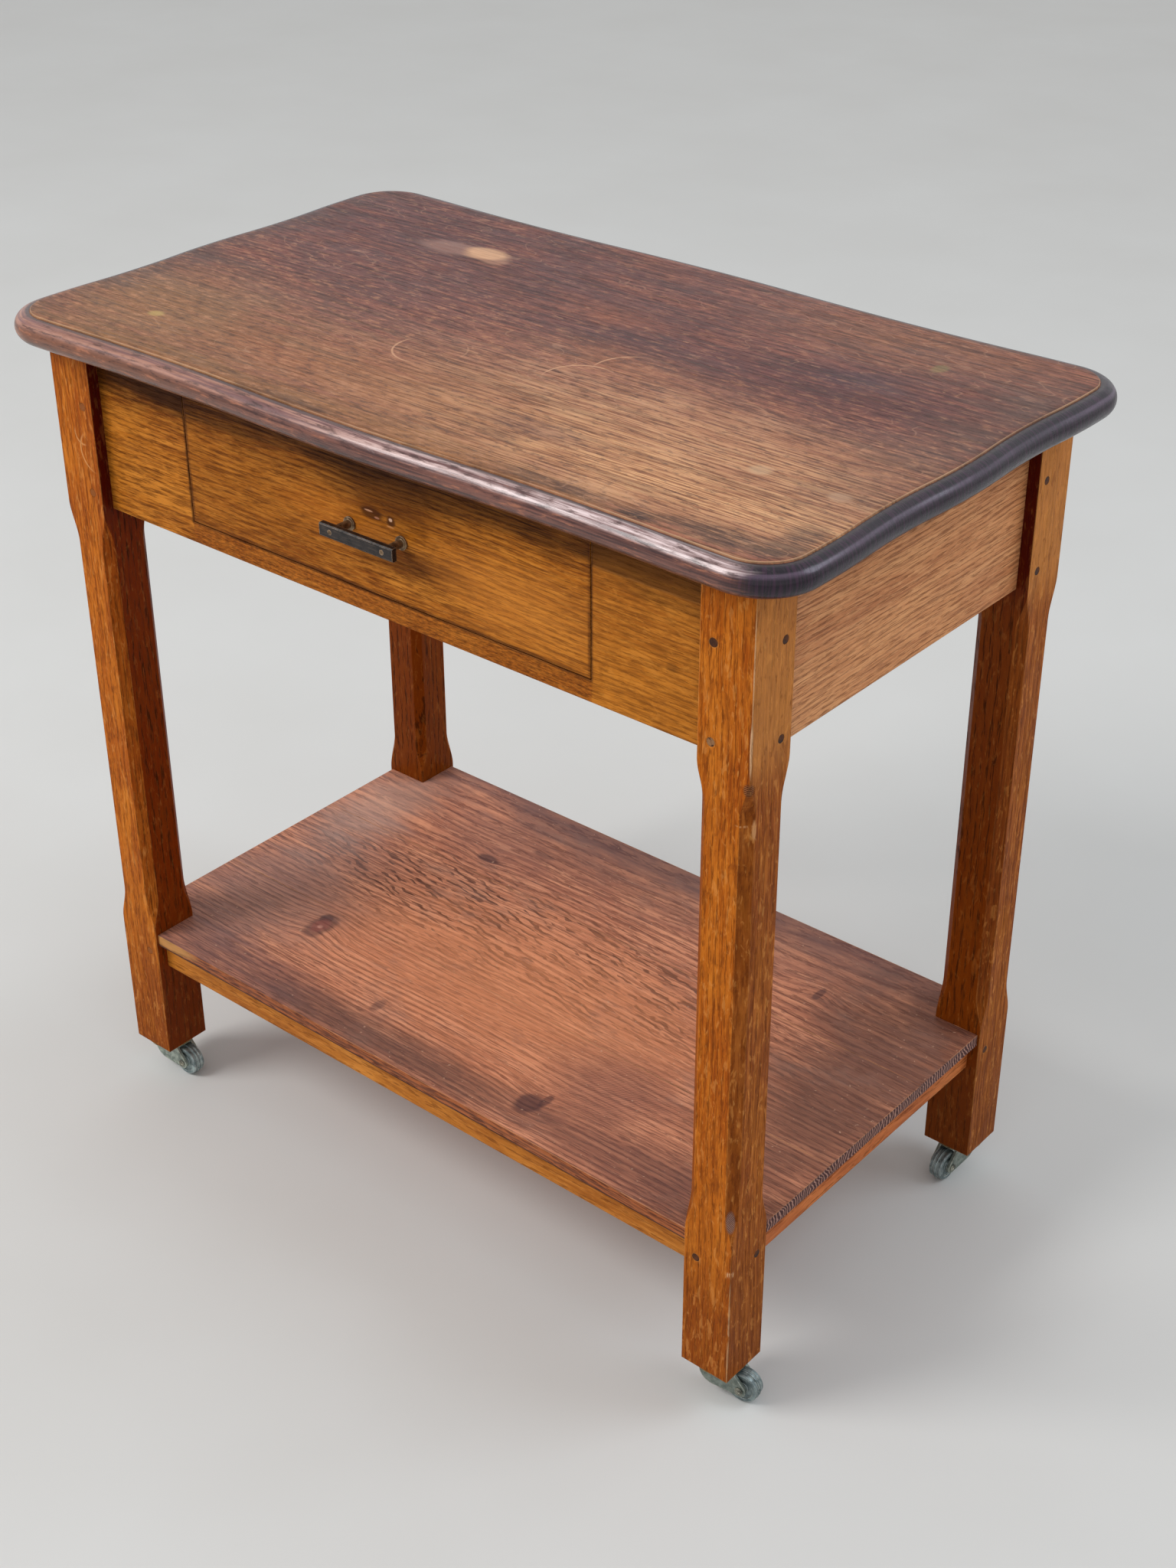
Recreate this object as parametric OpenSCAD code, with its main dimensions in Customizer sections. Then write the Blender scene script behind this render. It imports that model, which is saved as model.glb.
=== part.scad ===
// Serving table on castors, with a shaped top, one wide drawer and a low shelf.
// Millimetres. +X runs along the top, the drawer opens towards -Y, and the castors stand on z = 0.

/* [Top] */
// Length of the top at its fullest
top_len = 832; // [800:1:900]
// Depth of the top at its fullest
top_dep = 487; // [470:1:540]
// Thickness of the top
top_t = 25; // [22:0.5:29]
// Crest to hollow along the long sides
long_pitch = 204; // [190:1:208]
// Depth of the hollows in the long sides
long_wave = 4.5; // [3:0.5:8]
// Crest to hollow along the short sides
short_pitch = 88; // [80:1:100]
// Depth of the hollows in the short sides
short_wave = 3; // [2:0.5:5]
// Radius of the top's corners
corner_r = 50; // [40:1:58]
// Width of the rounded edge
roll_w = 14.5; // [14:0.5:20]
// Height of the small step inside the rounded edge
step_h = 1.5; // [0.8:0.1:2.5]

/* [Frame] */
// Height of the table from the floor
table_h = 808.5; // [760:0.5:860]
// Overhang of the top beyond the legs at each end
end_overhang = 39; // [32:1:60]
// Overhang of the top beyond the legs at the front and back
side_overhang = 29.5; // [24:0.5:45]
// Side of the square legs
leg_w = 48; // [44:1:54]
// Width of the chamfers on the leg faces
chamfer_w = 8; // [5:0.5:11]
// Length of each run-out stop
stop_len = 40; // [14:1:50]
// Start of the chamfers above the shelf
stop_rise = 2; // [1:1:40]
// Height of the aprons
apron_h = 149; // [135:1:165]
// Thickness of the aprons
apron_t = 20; // [18:0.5:24]
// Step from the leg faces back to the aprons
setback = 11; // [7:0.5:14]
// Length of the tenons
tenon_len = 20; // [12:0.5:21]
// Thickness of the tenons
tenon_t = 9; // [7:0.5:10]
// Diameter of the pegs
peg_d = 7; // [5:0.5:8]
// Length of the pegs
peg_len = 29; // [24:0.5:30]

/* [Shelf] */
// Height of the shelf's face above the floor
shelf_h = 180.5; // [160:0.5:230]
// Thickness of the shelf boards
shelf_t = 12; // [10:0.5:16]
// Height of the low rails
rail_h = 29; // [26:1:40]
// Step from the leg faces back to the shelf's edge
shelf_in = 2.5; // [1:0.5:6]

/* [Drawer] */
// Width of the panel on each side of the drawer opening
panel_w = 108; // [90:1:130]
// Height of the strip under the drawer
strip_h = 18.5; // [15:0.5:24]
// Gap round the drawer front
front_gap = 1.2; // [0.6:0.1:2]
// Thickness of the drawer front
front_t = 20; // [18:0.5:24]
// Thickness of the drawer sides and back
side_t = 10; // [8:0.5:13]
// Room above the drawer sides
side_room = 30; // [19:0.5:40]
// Room behind the drawer box
back_room = 23; // [20:1:60]
// Thickness of the drawer bottom
bottom_t = 6; // [5:0.5:8]
// Length of the pull's bar
pull_len = 80; // [66:1:110]
// Height of the pull's bar
pull_h = 11.5; // [9:0.5:18]
// Thickness of the pull's bar
pull_t = 5; // [4:0.5:7]
// Distance between the pull's posts
post_pitch = 57; // [50:1:64]
// Room for fingers behind the bar
pull_reach = 18; // [15:0.5:26]

/* [Castors] */
// Diameter of the wheels
wheel_d = 31; // [27:0.5:33]
// Width of the wheels
wheel_w = 14; // [10:0.5:16]
// Sideways offset of the axle from the king pin
trail = 24; // [23:0.5:28]
// Drop of the axle below the leg
axle_drop = 22; // [20.5:0.5:26]
// Diameter of the axle
axle_d = 4.4; // [3.5:0.1:5]
// Diameter of the king pin
king_d = 7; // [6:0.5:8]
// Diameter of the plate under each leg
plate_d = 46; // [42:0.5:46]
// Thickness of the plate under each leg
plate_t = 2.5; // [2:0.1:3]
// Where each horn points, seen from above
turn_front_left = 0; // [-180:1:180]
// Where the front right horn points
turn_front_right = 8; // [-180:1:180]
// Where the back left horn points
turn_back_left = 152; // [-180:1:180]
// Where the back right horn points
turn_back_right = -92; // [-180:1:180]

/* [Hidden] */

$fn = 48;
// Facets of the larger rounds
round_fn = 64;
// Overrun of every cut
over = 3;
// Steps of each run-out stop, and how far outside its arris it starts
stop_steps = 10;
skim = 0.05;
// Clearance of glued and pegged joints, of boards side by side, of turning pins and of sliding wood
seat_gap = 0.2;
board_gap = 0.3;
turn_gap = 0.05;
slide_gap = 0.3;

// Heights
castor_h = axle_drop + wheel_d / 2;
under_top = table_h - top_t;
apron_z = under_top - apron_h;
strip_z = apron_z + strip_h;
rail_z = shelf_h - shelf_t - rail_h;
half_len = top_len / 2 - end_overhang;
half_dep = top_dep / 2 - side_overhang;
inner_x = half_len - leg_w;
inner_y = half_dep - leg_w;
face_x = half_len - setback;
face_y = half_dep - setback;
castor_x = half_len - leg_w / 2;
castor_y = half_dep - leg_w / 2;
open_w = 2 * (inner_x - panel_w);

// Joinery
tenon_shoulder = 9;
rail_shoulder = 4;
peg_inset = 12;
peg_heights_share = [0.101, 0.638];
groove_h = 6;
groove_d = 6;
groove_drop = 9;
button_w = 30;
button_len = 32;
button_t = 15;
screw_d = 4;
screw_head_d = 8;
screw_head_h = 2.2;
button_screw_len = 26;
shelf_screw_len = 25;
counterbore_d = 9.4;
counterbore_h = 12;
screw_hole_gap = 0.15;

// Places of the buttons along the long and short aprons, and of the shelf screws
back_button_share = [-0.29, 0, 0.29];
side_button_share = [-0.55, 0.55];
rail_screw_share = [-0.85, -0.3, 0.3, 0.85];
end_screw_share = [-0.18, 0.18];

// Drawer and its carriers
box_x = open_w / 2 - front_gap;
box_z = strip_z + slide_gap;
box_front = -face_y;
box_back = face_y - apron_t - back_room;
side_h = under_top - side_room - box_z;
front_z = strip_z + front_gap;
front_top = under_top - front_gap;
lap = 6;
tail_share = [0.18, 0.5, 0.82];
tail_root = 15;
tail_end = 21;
bottom_rise = 8;
bottom_in = 5;
dado = 3;
back_drop = 4;
back_inset = 2;
runner_w = 30;
runner_under = 14;
guide_w = 13.5;
guide_h = 24;
kicker_w = 15;
kicker_gap = 1;
stop_h = 34;
stop_w = 13;

// Pull
pull_drop = 10;
pull_bevel = 1;
post_d = 7;
spigot_d = 4;
rose_d = 12;
rose_t = 1.6;
nut_d = 11;
nut_t = 3;
rod_hole_gap = 0.2;
post_x = [-post_pitch / 2, post_pitch / 2];
pull_z = (front_z + front_top) / 2 - pull_drop;

// Castors
turn = [turn_front_left, turn_front_right, turn_back_left, turn_back_right];
horn_top = plate_t + slide_gap;
bell_r = 21;
bell_rim = 2.2;
bell_drop = 6.5;
hub_r = 10.4;
cheek_gap = 0.5;
cheek_t = 3;
boss_r = 6;
cheek_r = 14;
cheek_back = 1;
cheek_drop = 13;
cheek_reach = 16;
king_head_d = 10.5;
king_head_h = 2.4;
king_stem = 26;
king_hole_gap = 0.2;
axle_head_d = 7.4;
axle_head_h = 1.2;
axle_dimple_d = 3;
axle_dimple_h = 0.7;
plate_screw_d = 3;
plate_screw_head_d = 6;
plate_screw_head_h = 1.6;
plate_screw_len = 18;
plate_screw_ring = 17;
hub_boss_share = 0.34;
web_share = 0.72;
rim_share = 0.93;
rim_in_share = 0.7;
tread_share = [[0.93, 0.9], [0.8, 0.96], [0.42, 0.96], [0.34, 0.91], [0.24, 0.91], [0.16, 1]];

// Colours
oak = [0.62, 0.36, 0.13];
dark_oak = [0.33, 0.17, 0.10];
shelf_oak = [0.36, 0.20, 0.14];
pale_oak = [0.70, 0.52, 0.31];
bronze = [0.27, 0.23, 0.17];
old_brass = [0.66, 0.56, 0.34];
cast_metal = [0.36, 0.39, 0.36];
steel = [0.55, 0.55, 0.53];

// Outline of the top, as arcs that meet in line

// Radius of the arcs that swing from a crest to a hollow
function swing_r(pitch, wave) = (pitch * pitch + wave * wave) / (4 * wave);
function swing_a(pitch, r) = asin(pitch / 2 / r);
// Where two circles meet, on the left of the line from the first centre to the second
function meet(c1, r1, c2, r2) =
    let (d = c2 - c1, l = norm(d), a = (r1 * r1 - r2 * r2 + l * l) / (2 * l), h = sqrt(r1 * r1 - a * a))
    c1 + d * (a / l) + [-d[1], d[0]] * (h / l);
function bearing(from, to) = atan2(to[1] - from[1], to[0] - from[0]);

long_r = swing_r(long_pitch, long_wave);
long_a = swing_a(long_pitch, long_r);
short_r = swing_r(short_pitch, short_wave);
short_a = swing_a(short_pitch, short_r);
long_c = [2 * long_pitch, top_dep / 2 - long_r];
short_c = [top_len / 2 - short_r, 2 * short_pitch];
corner_c = meet(short_c, short_r - corner_r, long_c, long_r - corner_r);
long_end = bearing(long_c, corner_c);
short_end = bearing(short_c, corner_c);

// One quarter of the outline: centre, radius, first and last angle, 1 for a crest and -1 for a hollow
ARCS = [
    [[0, top_dep / 2 - long_r], long_r, 90 - long_a, 90, 1],
    [[long_pitch, top_dep / 2 - long_wave + long_r], long_r, 270 - long_a, 270 + long_a, -1],
    [long_c, long_r, long_end, 90 + long_a, 1],
    [corner_c, corner_r, short_end, long_end, 1],
    [short_c, short_r, -short_a, short_end, 1],
    [[top_len / 2 - short_wave + short_r, short_pitch], short_r, 180 - short_a, 180 + short_a, -1],
    [[top_len / 2 - short_r, 0], short_r, 0, short_a, 1]
];

roll_r = (top_t - step_h) / 2;
roll_steps = 7;
// Steps along each arc of a quarter, in the order of the list above
ARC_STEPS = [4, 8, 4, 9, 3, 6, 3];

// Points of an arc drawn in by a distance, from the long side towards the short one, without the last point
function arc_point(arc, in, a) = arc[0] + (arc[1] - arc[4] * in) * [cos(a), sin(a)];
function arc_points(arc, steps, in) = [
    for (i = [0 : steps - 1])
        arc_point(arc, in, arc[4] > 0 ? arc[3] + (arc[2] - arc[3]) * i / steps : arc[2] + (arc[3] - arc[2]) * i / steps)
];
function quarter(in) = concat(
    [for (k = [0 : len(ARCS) - 1]) for (p = arc_points(ARCS[k], ARC_STEPS[k], in)) p],
    [[top_len / 2 - in, 0]]
);
// The whole outline, anticlockwise from the right end
function outline(in) =
    let (q = quarter(in), n = len(q) - 1)
    concat(
        [for (i = [n : -1 : 1]) q[i]],
        [for (i = [0 : n - 1]) [-q[i][0], q[i][1]]],
        [for (i = [n : -1 : 1]) [-q[i][0], -q[i][1]]],
        [for (i = [0 : n - 1]) [q[i][0], -q[i][1]]]
    );

// Edge of the board from its face to its underside: distance in from the outline, and height
EDGE = concat(
    [[roll_w, top_t], [roll_w, top_t - step_h]],
    [for (i = [0 : roll_steps])
        let (a = 90 - 180 * i / roll_steps)
        [roll_r * (1 - cos(a)), roll_r * (1 + sin(a))]]
);

module top_body() {
    rings = [for (e = EDGE) outline(e[0])];
    n = len(rings[0]);
    last = len(EDGE) - 1;
    points = concat(
        [for (k = [0 : last]) for (p = rings[k]) [p[0], p[1], EDGE[k][1]]],
        [[0, 0, top_t], [0, 0, 0]]
    );
    skin = [
        for (k = [0 : last - 1]) for (i = [0 : n - 1])
            let (j = (i + 1) % n, u = k * n, v = (k + 1) * n)
            each [[u + i, u + j, v + i], [u + j, v + j, v + i]]
    ];
    caps = [
        for (i = [0 : n - 1])
            let (j = (i + 1) % n, u = last * n, c = (last + 1) * n)
            each [[c, j, i], [c + 1, u + i, u + j]]
    ];
    translate([0, 0, under_top])
        polyhedron(points, concat(skin, caps));
}

module four_ways() {
    for (mx = [0, 1], my = [0, 1])
        mirror([mx, 0, 0])
            mirror([0, my, 0])
                children();
}

// Buttons that hook into the aprons and hold the top down

// Places: x, y and the turn that points the button's tongue at its apron
BUTTONS = concat(
    [for (s = back_button_share) [s * inner_x, face_y - apron_t, 0]],
    [for (s = [-1, 1]) [s * (inner_x - panel_w / 2), -face_y + apron_t, 180]],
    [for (s = side_button_share) [face_x - apron_t, s * inner_y, -90]],
    [for (s = side_button_share) [-face_x + apron_t, s * inner_y, 90]]
);

module at_buttons() {
    for (b = BUTTONS)
        translate([b[0], b[1], under_top])
            rotate([0, 0, b[2]])
                children();
}

module screw(d, head_d, head_h, length) {
    // Countersunk screw that points up from its head's face
    union() {
        cylinder(d1 = head_d, d2 = d, h = head_h);
        cylinder(d = d, h = length);
    }
}

module button_screw_place() {
    translate([0, -button_len / 2, -button_t])
        children();
}

module top_board() {
    color(dark_oak)
        difference() {
            top_body();
            at_buttons()
                button_screw_place()
                    cylinder(d = screw_d + 2 * screw_hole_gap, h = button_screw_len + seat_gap);
        }
}

module top_buttons() {
    color(pale_oak)
        at_buttons()
            difference() {
                union() {
                    translate([-button_w / 2, -button_len - board_gap, -button_t])
                        cube([button_w, button_len, button_t]);
                    translate([-button_w / 2, -board_gap - over, -groove_drop - groove_h + seat_gap])
                        cube([button_w, groove_d + over - seat_gap, groove_h - 2 * seat_gap]);
                }
                button_screw_place()
                    screw(screw_d + 2 * screw_hole_gap, screw_head_d + 2 * screw_hole_gap, screw_head_h,
                        button_t + over);
            }
}

module button_screws() {
    color(steel)
        at_buttons()
            button_screw_place()
                screw(screw_d, screw_head_d, screw_head_h, button_screw_len);
}

// Legs

module at_corner(right, front) {
    // The front right corner, mirrored to the one that is asked for
    mirror([right ? 0 : 1, 0, 0])
        mirror([0, front ? 0 : 1, 0])
            children();
}

module chamfer_cut(z0, z1) {
    // Chamfer of an arris on the local axis, outwards along +X, that runs out in a soft swing at each end
    depth = chamfer_w / sqrt(2);
    half = depth + over;
    swing = [for (i = [0 : stop_steps]) [skim - (depth + skim) * (1 - cos(180 * i / stop_steps)) / 2, stop_len * i / stop_steps]];
    rotate([90, 0, 0])
        translate([0, 0, -half])
            linear_extrude(2 * half)
                polygon(concat(
                    [[over, z0]],
                    [for (p = swing) [p[0], z0 + p[1]]],
                    [for (i = [stop_steps : -1 : 0]) [swing[i][0], z1 - swing[i][1]]],
                    [[over, z1]]
                ));
}

module leg_chamfers() {
    for (i = [0 : 3])
        rotate([0, 0, 45 + 90 * i])
            translate([leg_w / sqrt(2), 0, 0])
                chamfer_cut(shelf_h + stop_rise, apron_z);
}

module leg_sockets() {
    // Mortises for an apron and a rail in the face towards -X, at the place of the long ones
    for (m = [[apron_z + tenon_shoulder, apron_h - 2 * tenon_shoulder],
              [rail_z + rail_shoulder, rail_h - 2 * rail_shoulder]])
        translate([inner_x - over, -face_y + (apron_t - tenon_t) / 2 - seat_gap, m[0] - seat_gap])
            cube([tenon_len + over + seat_gap, tenon_t + 2 * seat_gap, m[1] + 2 * seat_gap]);
    // The same in the face towards +Y
    for (m = [[apron_z + tenon_shoulder, apron_h - 2 * tenon_shoulder],
              [rail_z + rail_shoulder, rail_h - 2 * rail_shoulder]])
        translate([face_x - (apron_t + tenon_t) / 2 - seat_gap, -inner_y - tenon_len - seat_gap, m[0] - seat_gap])
            cube([tenon_t + 2 * seat_gap, tenon_len + over + seat_gap, m[1] + 2 * seat_gap]);
}

// Heights of the pegs: two in each apron joint and one in each rail joint
PEG_Z = concat(
    [for (s = peg_heights_share) apron_z + apron_h * s],
    [rail_z + rail_h * peg_heights_share[1]]
);

module long_peg(d, grow) {
    // Pegs driven in from the front face, through the tenons of the long boards
    for (z = PEG_Z)
        translate([inner_x + peg_inset, -half_dep - grow, z])
            rotate([-90, 0, 0])
                cylinder(d = d, h = peg_len + 2 * grow);
}

module short_peg(d, grow) {
    // Pegs driven in from the side face, through the tenons of the short boards
    for (z = PEG_Z)
        translate([half_len + grow, -inner_y - peg_inset, z])
            rotate([0, -90, 0])
                cylinder(d = d, h = peg_len + 2 * grow);
}

module peg_holes() {
    long_peg(peg_d + 2 * seat_gap, seat_gap);
    short_peg(peg_d + 2 * seat_gap, seat_gap);
}

module plate_screw_ring() {
    for (i = [0 : 3])
        rotate([0, 0, 45 + 90 * i])
            translate([plate_screw_ring, 0, 0])
                children();
}

module leg() {
    // The front right leg
    difference() {
        translate([inner_x, -half_dep, castor_h])
            cube([leg_w, leg_w, under_top - castor_h]);
        translate([castor_x, -castor_y, 0])
            leg_chamfers();
        leg_sockets();
        peg_holes();
        translate([castor_x, -castor_y, castor_h]) {
            translate([0, 0, -over])
                cylinder(d = king_d + 2 * king_hole_gap, h = king_stem + over + seat_gap);
            plate_screw_ring()
                cylinder(d = plate_screw_d + 2 * screw_hole_gap, h = plate_screw_len);
        }
    }
}

module leg_front_left() {
    color(oak)
        at_corner(false, true)
            leg();
}

module leg_front_right() {
    color(oak)
        at_corner(true, true)
            leg();
}

module leg_back_left() {
    color(oak)
        at_corner(false, false)
            leg();
}

module leg_back_right() {
    color(oak)
        at_corner(true, false)
            leg();
}

module leg_pegs() {
    color(dark_oak)
        four_ways() {
            long_peg(peg_d, 0);
            short_peg(peg_d, 0);
        }
}

// Aprons and rails

module long_board(z, h, shoulder) {
    // Board between the front legs, with a tenon at each end
    translate([-inner_x, -face_y, z])
        cube([2 * inner_x, apron_t, h]);
    translate([-inner_x - tenon_len, -face_y + (apron_t - tenon_t) / 2, z + shoulder])
        cube([2 * (inner_x + tenon_len), tenon_t, h - 2 * shoulder]);
}

module short_board(z, h, shoulder) {
    // Board between the right legs, with a tenon at each end
    translate([face_x - apron_t, -inner_y, z])
        cube([apron_t, 2 * inner_y, h]);
    translate([face_x - (apron_t + tenon_t) / 2, -inner_y - tenon_len, z + shoulder])
        cube([tenon_t, 2 * (inner_y + tenon_len), h - 2 * shoulder]);
}

module button_groove_long() {
    translate([-inner_x - over, -face_y + apron_t - groove_d, under_top - groove_drop - groove_h])
        cube([2 * (inner_x + over), groove_d + over, groove_h]);
}

module button_groove_short() {
    translate([face_x - apron_t - over, -inner_y - over, under_top - groove_drop - groove_h])
        cube([groove_d + over, 2 * (inner_y + over), groove_h]);
}

module both_ends() {
    for (m = [0, 1])
        mirror([m, 0, 0])
            children();
}

module both_sides() {
    for (m = [0, 1])
        mirror([0, m, 0])
            children();
}

module long_apron() {
    difference() {
        long_board(apron_z, apron_h, tenon_shoulder);
        button_groove_long();
        both_ends()
            long_peg(peg_d + 2 * seat_gap, seat_gap);
    }
}

module apron_front() {
    color(oak)
        difference() {
            long_apron();
            translate([-open_w / 2, -face_y - over, strip_z])
                cube([open_w, apron_t + 2 * over, apron_h]);
        }
}

module apron_back() {
    color(oak)
        mirror([0, 1, 0])
            long_apron();
}

module short_apron() {
    difference() {
        short_board(apron_z, apron_h, tenon_shoulder);
        button_groove_short();
        both_sides()
            short_peg(peg_d + 2 * seat_gap, seat_gap);
    }
}

module apron_left() {
    color(oak)
        mirror([1, 0, 0])
            short_apron();
}

module apron_right() {
    color(oak)
        short_apron();
}

module at_long_screws() {
    for (s = rail_screw_share)
        translate([s * inner_x, -face_y + apron_t / 2, rail_z])
            children();
}

module at_short_screws() {
    for (s = end_screw_share)
        translate([face_x - apron_t / 2, s * half_dep, rail_z])
            children();
}

module shelf_screw_hole() {
    translate([0, 0, -over])
        cylinder(d = counterbore_d, h = counterbore_h + over);
    cylinder(d = screw_d + 2 * screw_hole_gap, h = rail_h + over);
}

module long_rail() {
    difference() {
        long_board(rail_z, rail_h, rail_shoulder);
        both_ends()
            long_peg(peg_d + 2 * seat_gap, seat_gap);
        at_long_screws()
            shelf_screw_hole();
    }
}

module short_rail() {
    difference() {
        short_board(rail_z, rail_h, rail_shoulder);
        both_sides()
            short_peg(peg_d + 2 * seat_gap, seat_gap);
        at_short_screws()
            shelf_screw_hole();
    }
}

module rail_front() {
    color(oak)
        long_rail();
}

module rail_back() {
    color(oak)
        mirror([0, 1, 0])
            long_rail();
}

module rail_left() {
    color(oak)
        mirror([1, 0, 0])
            short_rail();
}

module rail_right() {
    color(oak)
        short_rail();
}

// Shelf of three boards, notched round the legs

shelf_x = half_len - shelf_in;
shelf_y = half_dep - shelf_in;
board_w = 2 * shelf_y / 3;
notch_x = inner_x - seat_gap;
notch_y = inner_y - seat_gap;
shelf_screw_bite = shelf_screw_len - (rail_h - counterbore_h);

module screw_bites() {
    four_ways() {
        at_long_screws()
            translate([0, 0, rail_h - over])
                cylinder(d = screw_d + 2 * screw_hole_gap, h = shelf_screw_bite + seat_gap + over);
        at_short_screws()
            translate([0, 0, rail_h - over])
                cylinder(d = screw_d + 2 * screw_hole_gap, h = shelf_screw_bite + seat_gap + over);
    }
}

module outer_board() {
    difference() {
        translate([-shelf_x, -shelf_y, shelf_h - shelf_t])
            cube([2 * shelf_x, board_w - board_gap / 2, shelf_t]);
        both_ends()
            translate([notch_x, -notch_y - leg_w - over, shelf_h - shelf_t - over])
                cube([leg_w + over, leg_w + over, shelf_t + 2 * over]);
        screw_bites();
    }
}

module shelf_front() {
    color(shelf_oak)
        outer_board();
}

module shelf_middle() {
    color(shelf_oak)
        difference() {
            translate([-shelf_x, -board_w / 2 + board_gap / 2, shelf_h - shelf_t])
                cube([2 * shelf_x, board_w - board_gap, shelf_t]);
            screw_bites();
        }
}

module shelf_back() {
    color(shelf_oak)
        mirror([0, 1, 0])
            outer_board();
}

module shelf_screws() {
    color(steel) {
        both_sides()
            at_long_screws()
                translate([0, 0, counterbore_h])
                    screw_up();
        both_ends()
            at_short_screws()
                translate([0, 0, counterbore_h])
                    screw_up();
    }
}

module screw_up() {
    // Round-headed screw with its head below z = 0 and its shank above
    translate([0, 0, -screw_head_h])
        cylinder(d = screw_head_d, h = screw_head_h);
    cylinder(d = screw_d, h = shelf_screw_len);
}

// Carriers of the drawer

runner_x = box_x - runner_under;
runner_y = face_y - apron_t;
guide_x = box_x + slide_gap;

module runner() {
    translate([runner_x, -runner_y, apron_z])
        cube([runner_w, 2 * runner_y, strip_h]);
}

module guide() {
    translate([guide_x, -runner_y, strip_z])
        cube([guide_w, 2 * runner_y, guide_h]);
}

module kicker() {
    kicker_z = box_z + side_h + kicker_gap;
    translate([box_x - kicker_w, -runner_y, kicker_z])
        cube([kicker_w, 2 * runner_y, under_top - kicker_z]);
}

module runner_left() {
    color(pale_oak)
        mirror([1, 0, 0])
            runner();
}

module runner_right() {
    color(pale_oak)
        runner();
}

module guide_left() {
    color(pale_oak)
        mirror([1, 0, 0])
            guide();
}

module guide_right() {
    color(pale_oak)
        guide();
}

module kicker_left() {
    color(pale_oak)
        mirror([1, 0, 0])
            kicker();
}

module kicker_right() {
    color(pale_oak)
        kicker();
}

module drawer_stops() {
    color(pale_oak)
        both_ends()
            translate([box_x - stop_w, box_back + slide_gap, strip_z])
                cube([stop_w, back_room - slide_gap, stop_h]);
}

// Drawer, dovetailed at the front

side_front = box_front + lap;
shoulder_y = box_front + front_t;
bottom_z = box_z + bottom_rise;

module tail_profile(grow) {
    // Fan-shaped tails, y towards the back and z up, drawn in the plane of a side
    for (s = tail_share)
        polygon([
            [side_front - grow, box_z + side_h * s - tail_end / 2 - grow],
            [side_front - grow, box_z + side_h * s + tail_end / 2 + grow],
            [shoulder_y + over, box_z + side_h * s + tail_root / 2 + grow],
            [shoulder_y + over, box_z + side_h * s - tail_root / 2 - grow]
        ]);
}

module along_x(x, w) {
    // Stands a profile of y and z upright and gives it a width along X
    translate([x, 0, 0])
        rotate([90, 0, 90])
            linear_extrude(w)
                children();
}

module bottom_panel(grow) {
    translate([-box_x + side_t - bottom_in - grow, shoulder_y - bottom_in - grow, bottom_z - grow])
        cube([2 * (box_x - side_t + bottom_in + grow), box_back - shoulder_y + bottom_in - back_inset + grow,
            bottom_t + 2 * grow]);
}

module drawer_front() {
    color(oak)
        difference() {
            translate([-box_x, box_front, front_z])
                cube([2 * box_x, front_t, front_top - front_z]);
            both_ends()
                along_x(box_x - side_t - seat_gap, side_t + seat_gap + over)
                    tail_profile(seat_gap);
            bottom_panel(seat_gap);
            for (x = post_x)
                translate([x, box_front - over, pull_z])
                    rotate([-90, 0, 0])
                        cylinder(d = spigot_d + 2 * rod_hole_gap, h = front_t + 2 * over);
        }
}

module back_board(grow) {
    back_z = bottom_z + bottom_t + seat_gap;
    translate([-box_x + side_t - dado - grow, box_back - side_t - back_inset - grow, back_z - grow])
        cube([2 * (box_x - side_t + dado + grow), side_t + 2 * grow, box_z + side_h - back_drop - back_z + grow]);
}

module drawer_side() {
    difference() {
        union() {
            translate([box_x - side_t, shoulder_y, box_z])
                cube([side_t, box_back - shoulder_y, side_h]);
            along_x(box_x - side_t, side_t)
                tail_profile(0);
        }
        bottom_panel(seat_gap);
        translate([0, 0, back_drop + seat_gap])
            back_board(seat_gap);
        back_board(seat_gap);
    }
}

module drawer_side_left() {
    color(pale_oak)
        mirror([1, 0, 0])
            drawer_side();
}

module drawer_side_right() {
    color(pale_oak)
        drawer_side();
}

module drawer_back() {
    color(pale_oak)
        back_board(0);
}

module drawer_bottom() {
    color(pale_oak)
        bottom_panel(0);
}

// Pull

bar_back = box_front - pull_reach;

module pull_bar() {
    color(bronze)
        difference() {
            translate([-pull_len / 2, bar_back, pull_z])
                rotate([90, 0, 90])
                    linear_extrude(pull_len)
                        polygon([
                            [0, -pull_h / 2], [0, pull_h / 2],
                            [-pull_t + pull_bevel, pull_h / 2], [-pull_t, pull_h / 2 - pull_bevel],
                            [-pull_t, -pull_h / 2 + pull_bevel], [-pull_t + pull_bevel, -pull_h / 2]
                        ]);
            for (x = post_x)
                translate([x, bar_back - pull_t - over, pull_z])
                    rotate([-90, 0, 0])
                        cylinder(d = spigot_d + 2 * turn_gap, h = pull_t + 2 * over);
        }
}

module pull_posts() {
    color(old_brass)
        for (x = post_x)
            translate([x, 0, pull_z])
                rotate([-90, 0, 0]) {
                    translate([0, 0, bar_back - pull_t])
                        cylinder(d = spigot_d, h = pull_t + pull_reach + front_t + nut_t);
                    translate([0, 0, bar_back])
                        cylinder(d = post_d, h = pull_reach - rose_t);
                    translate([0, 0, box_front - rose_t])
                        cylinder(d = rose_d, h = rose_t);
                }
}

module pull_nuts() {
    color(old_brass)
        for (x = post_x)
            translate([x, box_front + front_t, pull_z])
                rotate([-90, 0, 0])
                    difference() {
                        cylinder(d = nut_d, h = nut_t);
                        translate([0, 0, -over])
                            cylinder(d = spigot_d + 2 * turn_gap, h = nut_t + 2 * over);
                    }
}

// Castors

// Corner of each castor, in the order of the turns: front left, front right, back left, back right
CORNERS = [[-1, -1], [1, -1], [-1, 1], [1, 1]];

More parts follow.
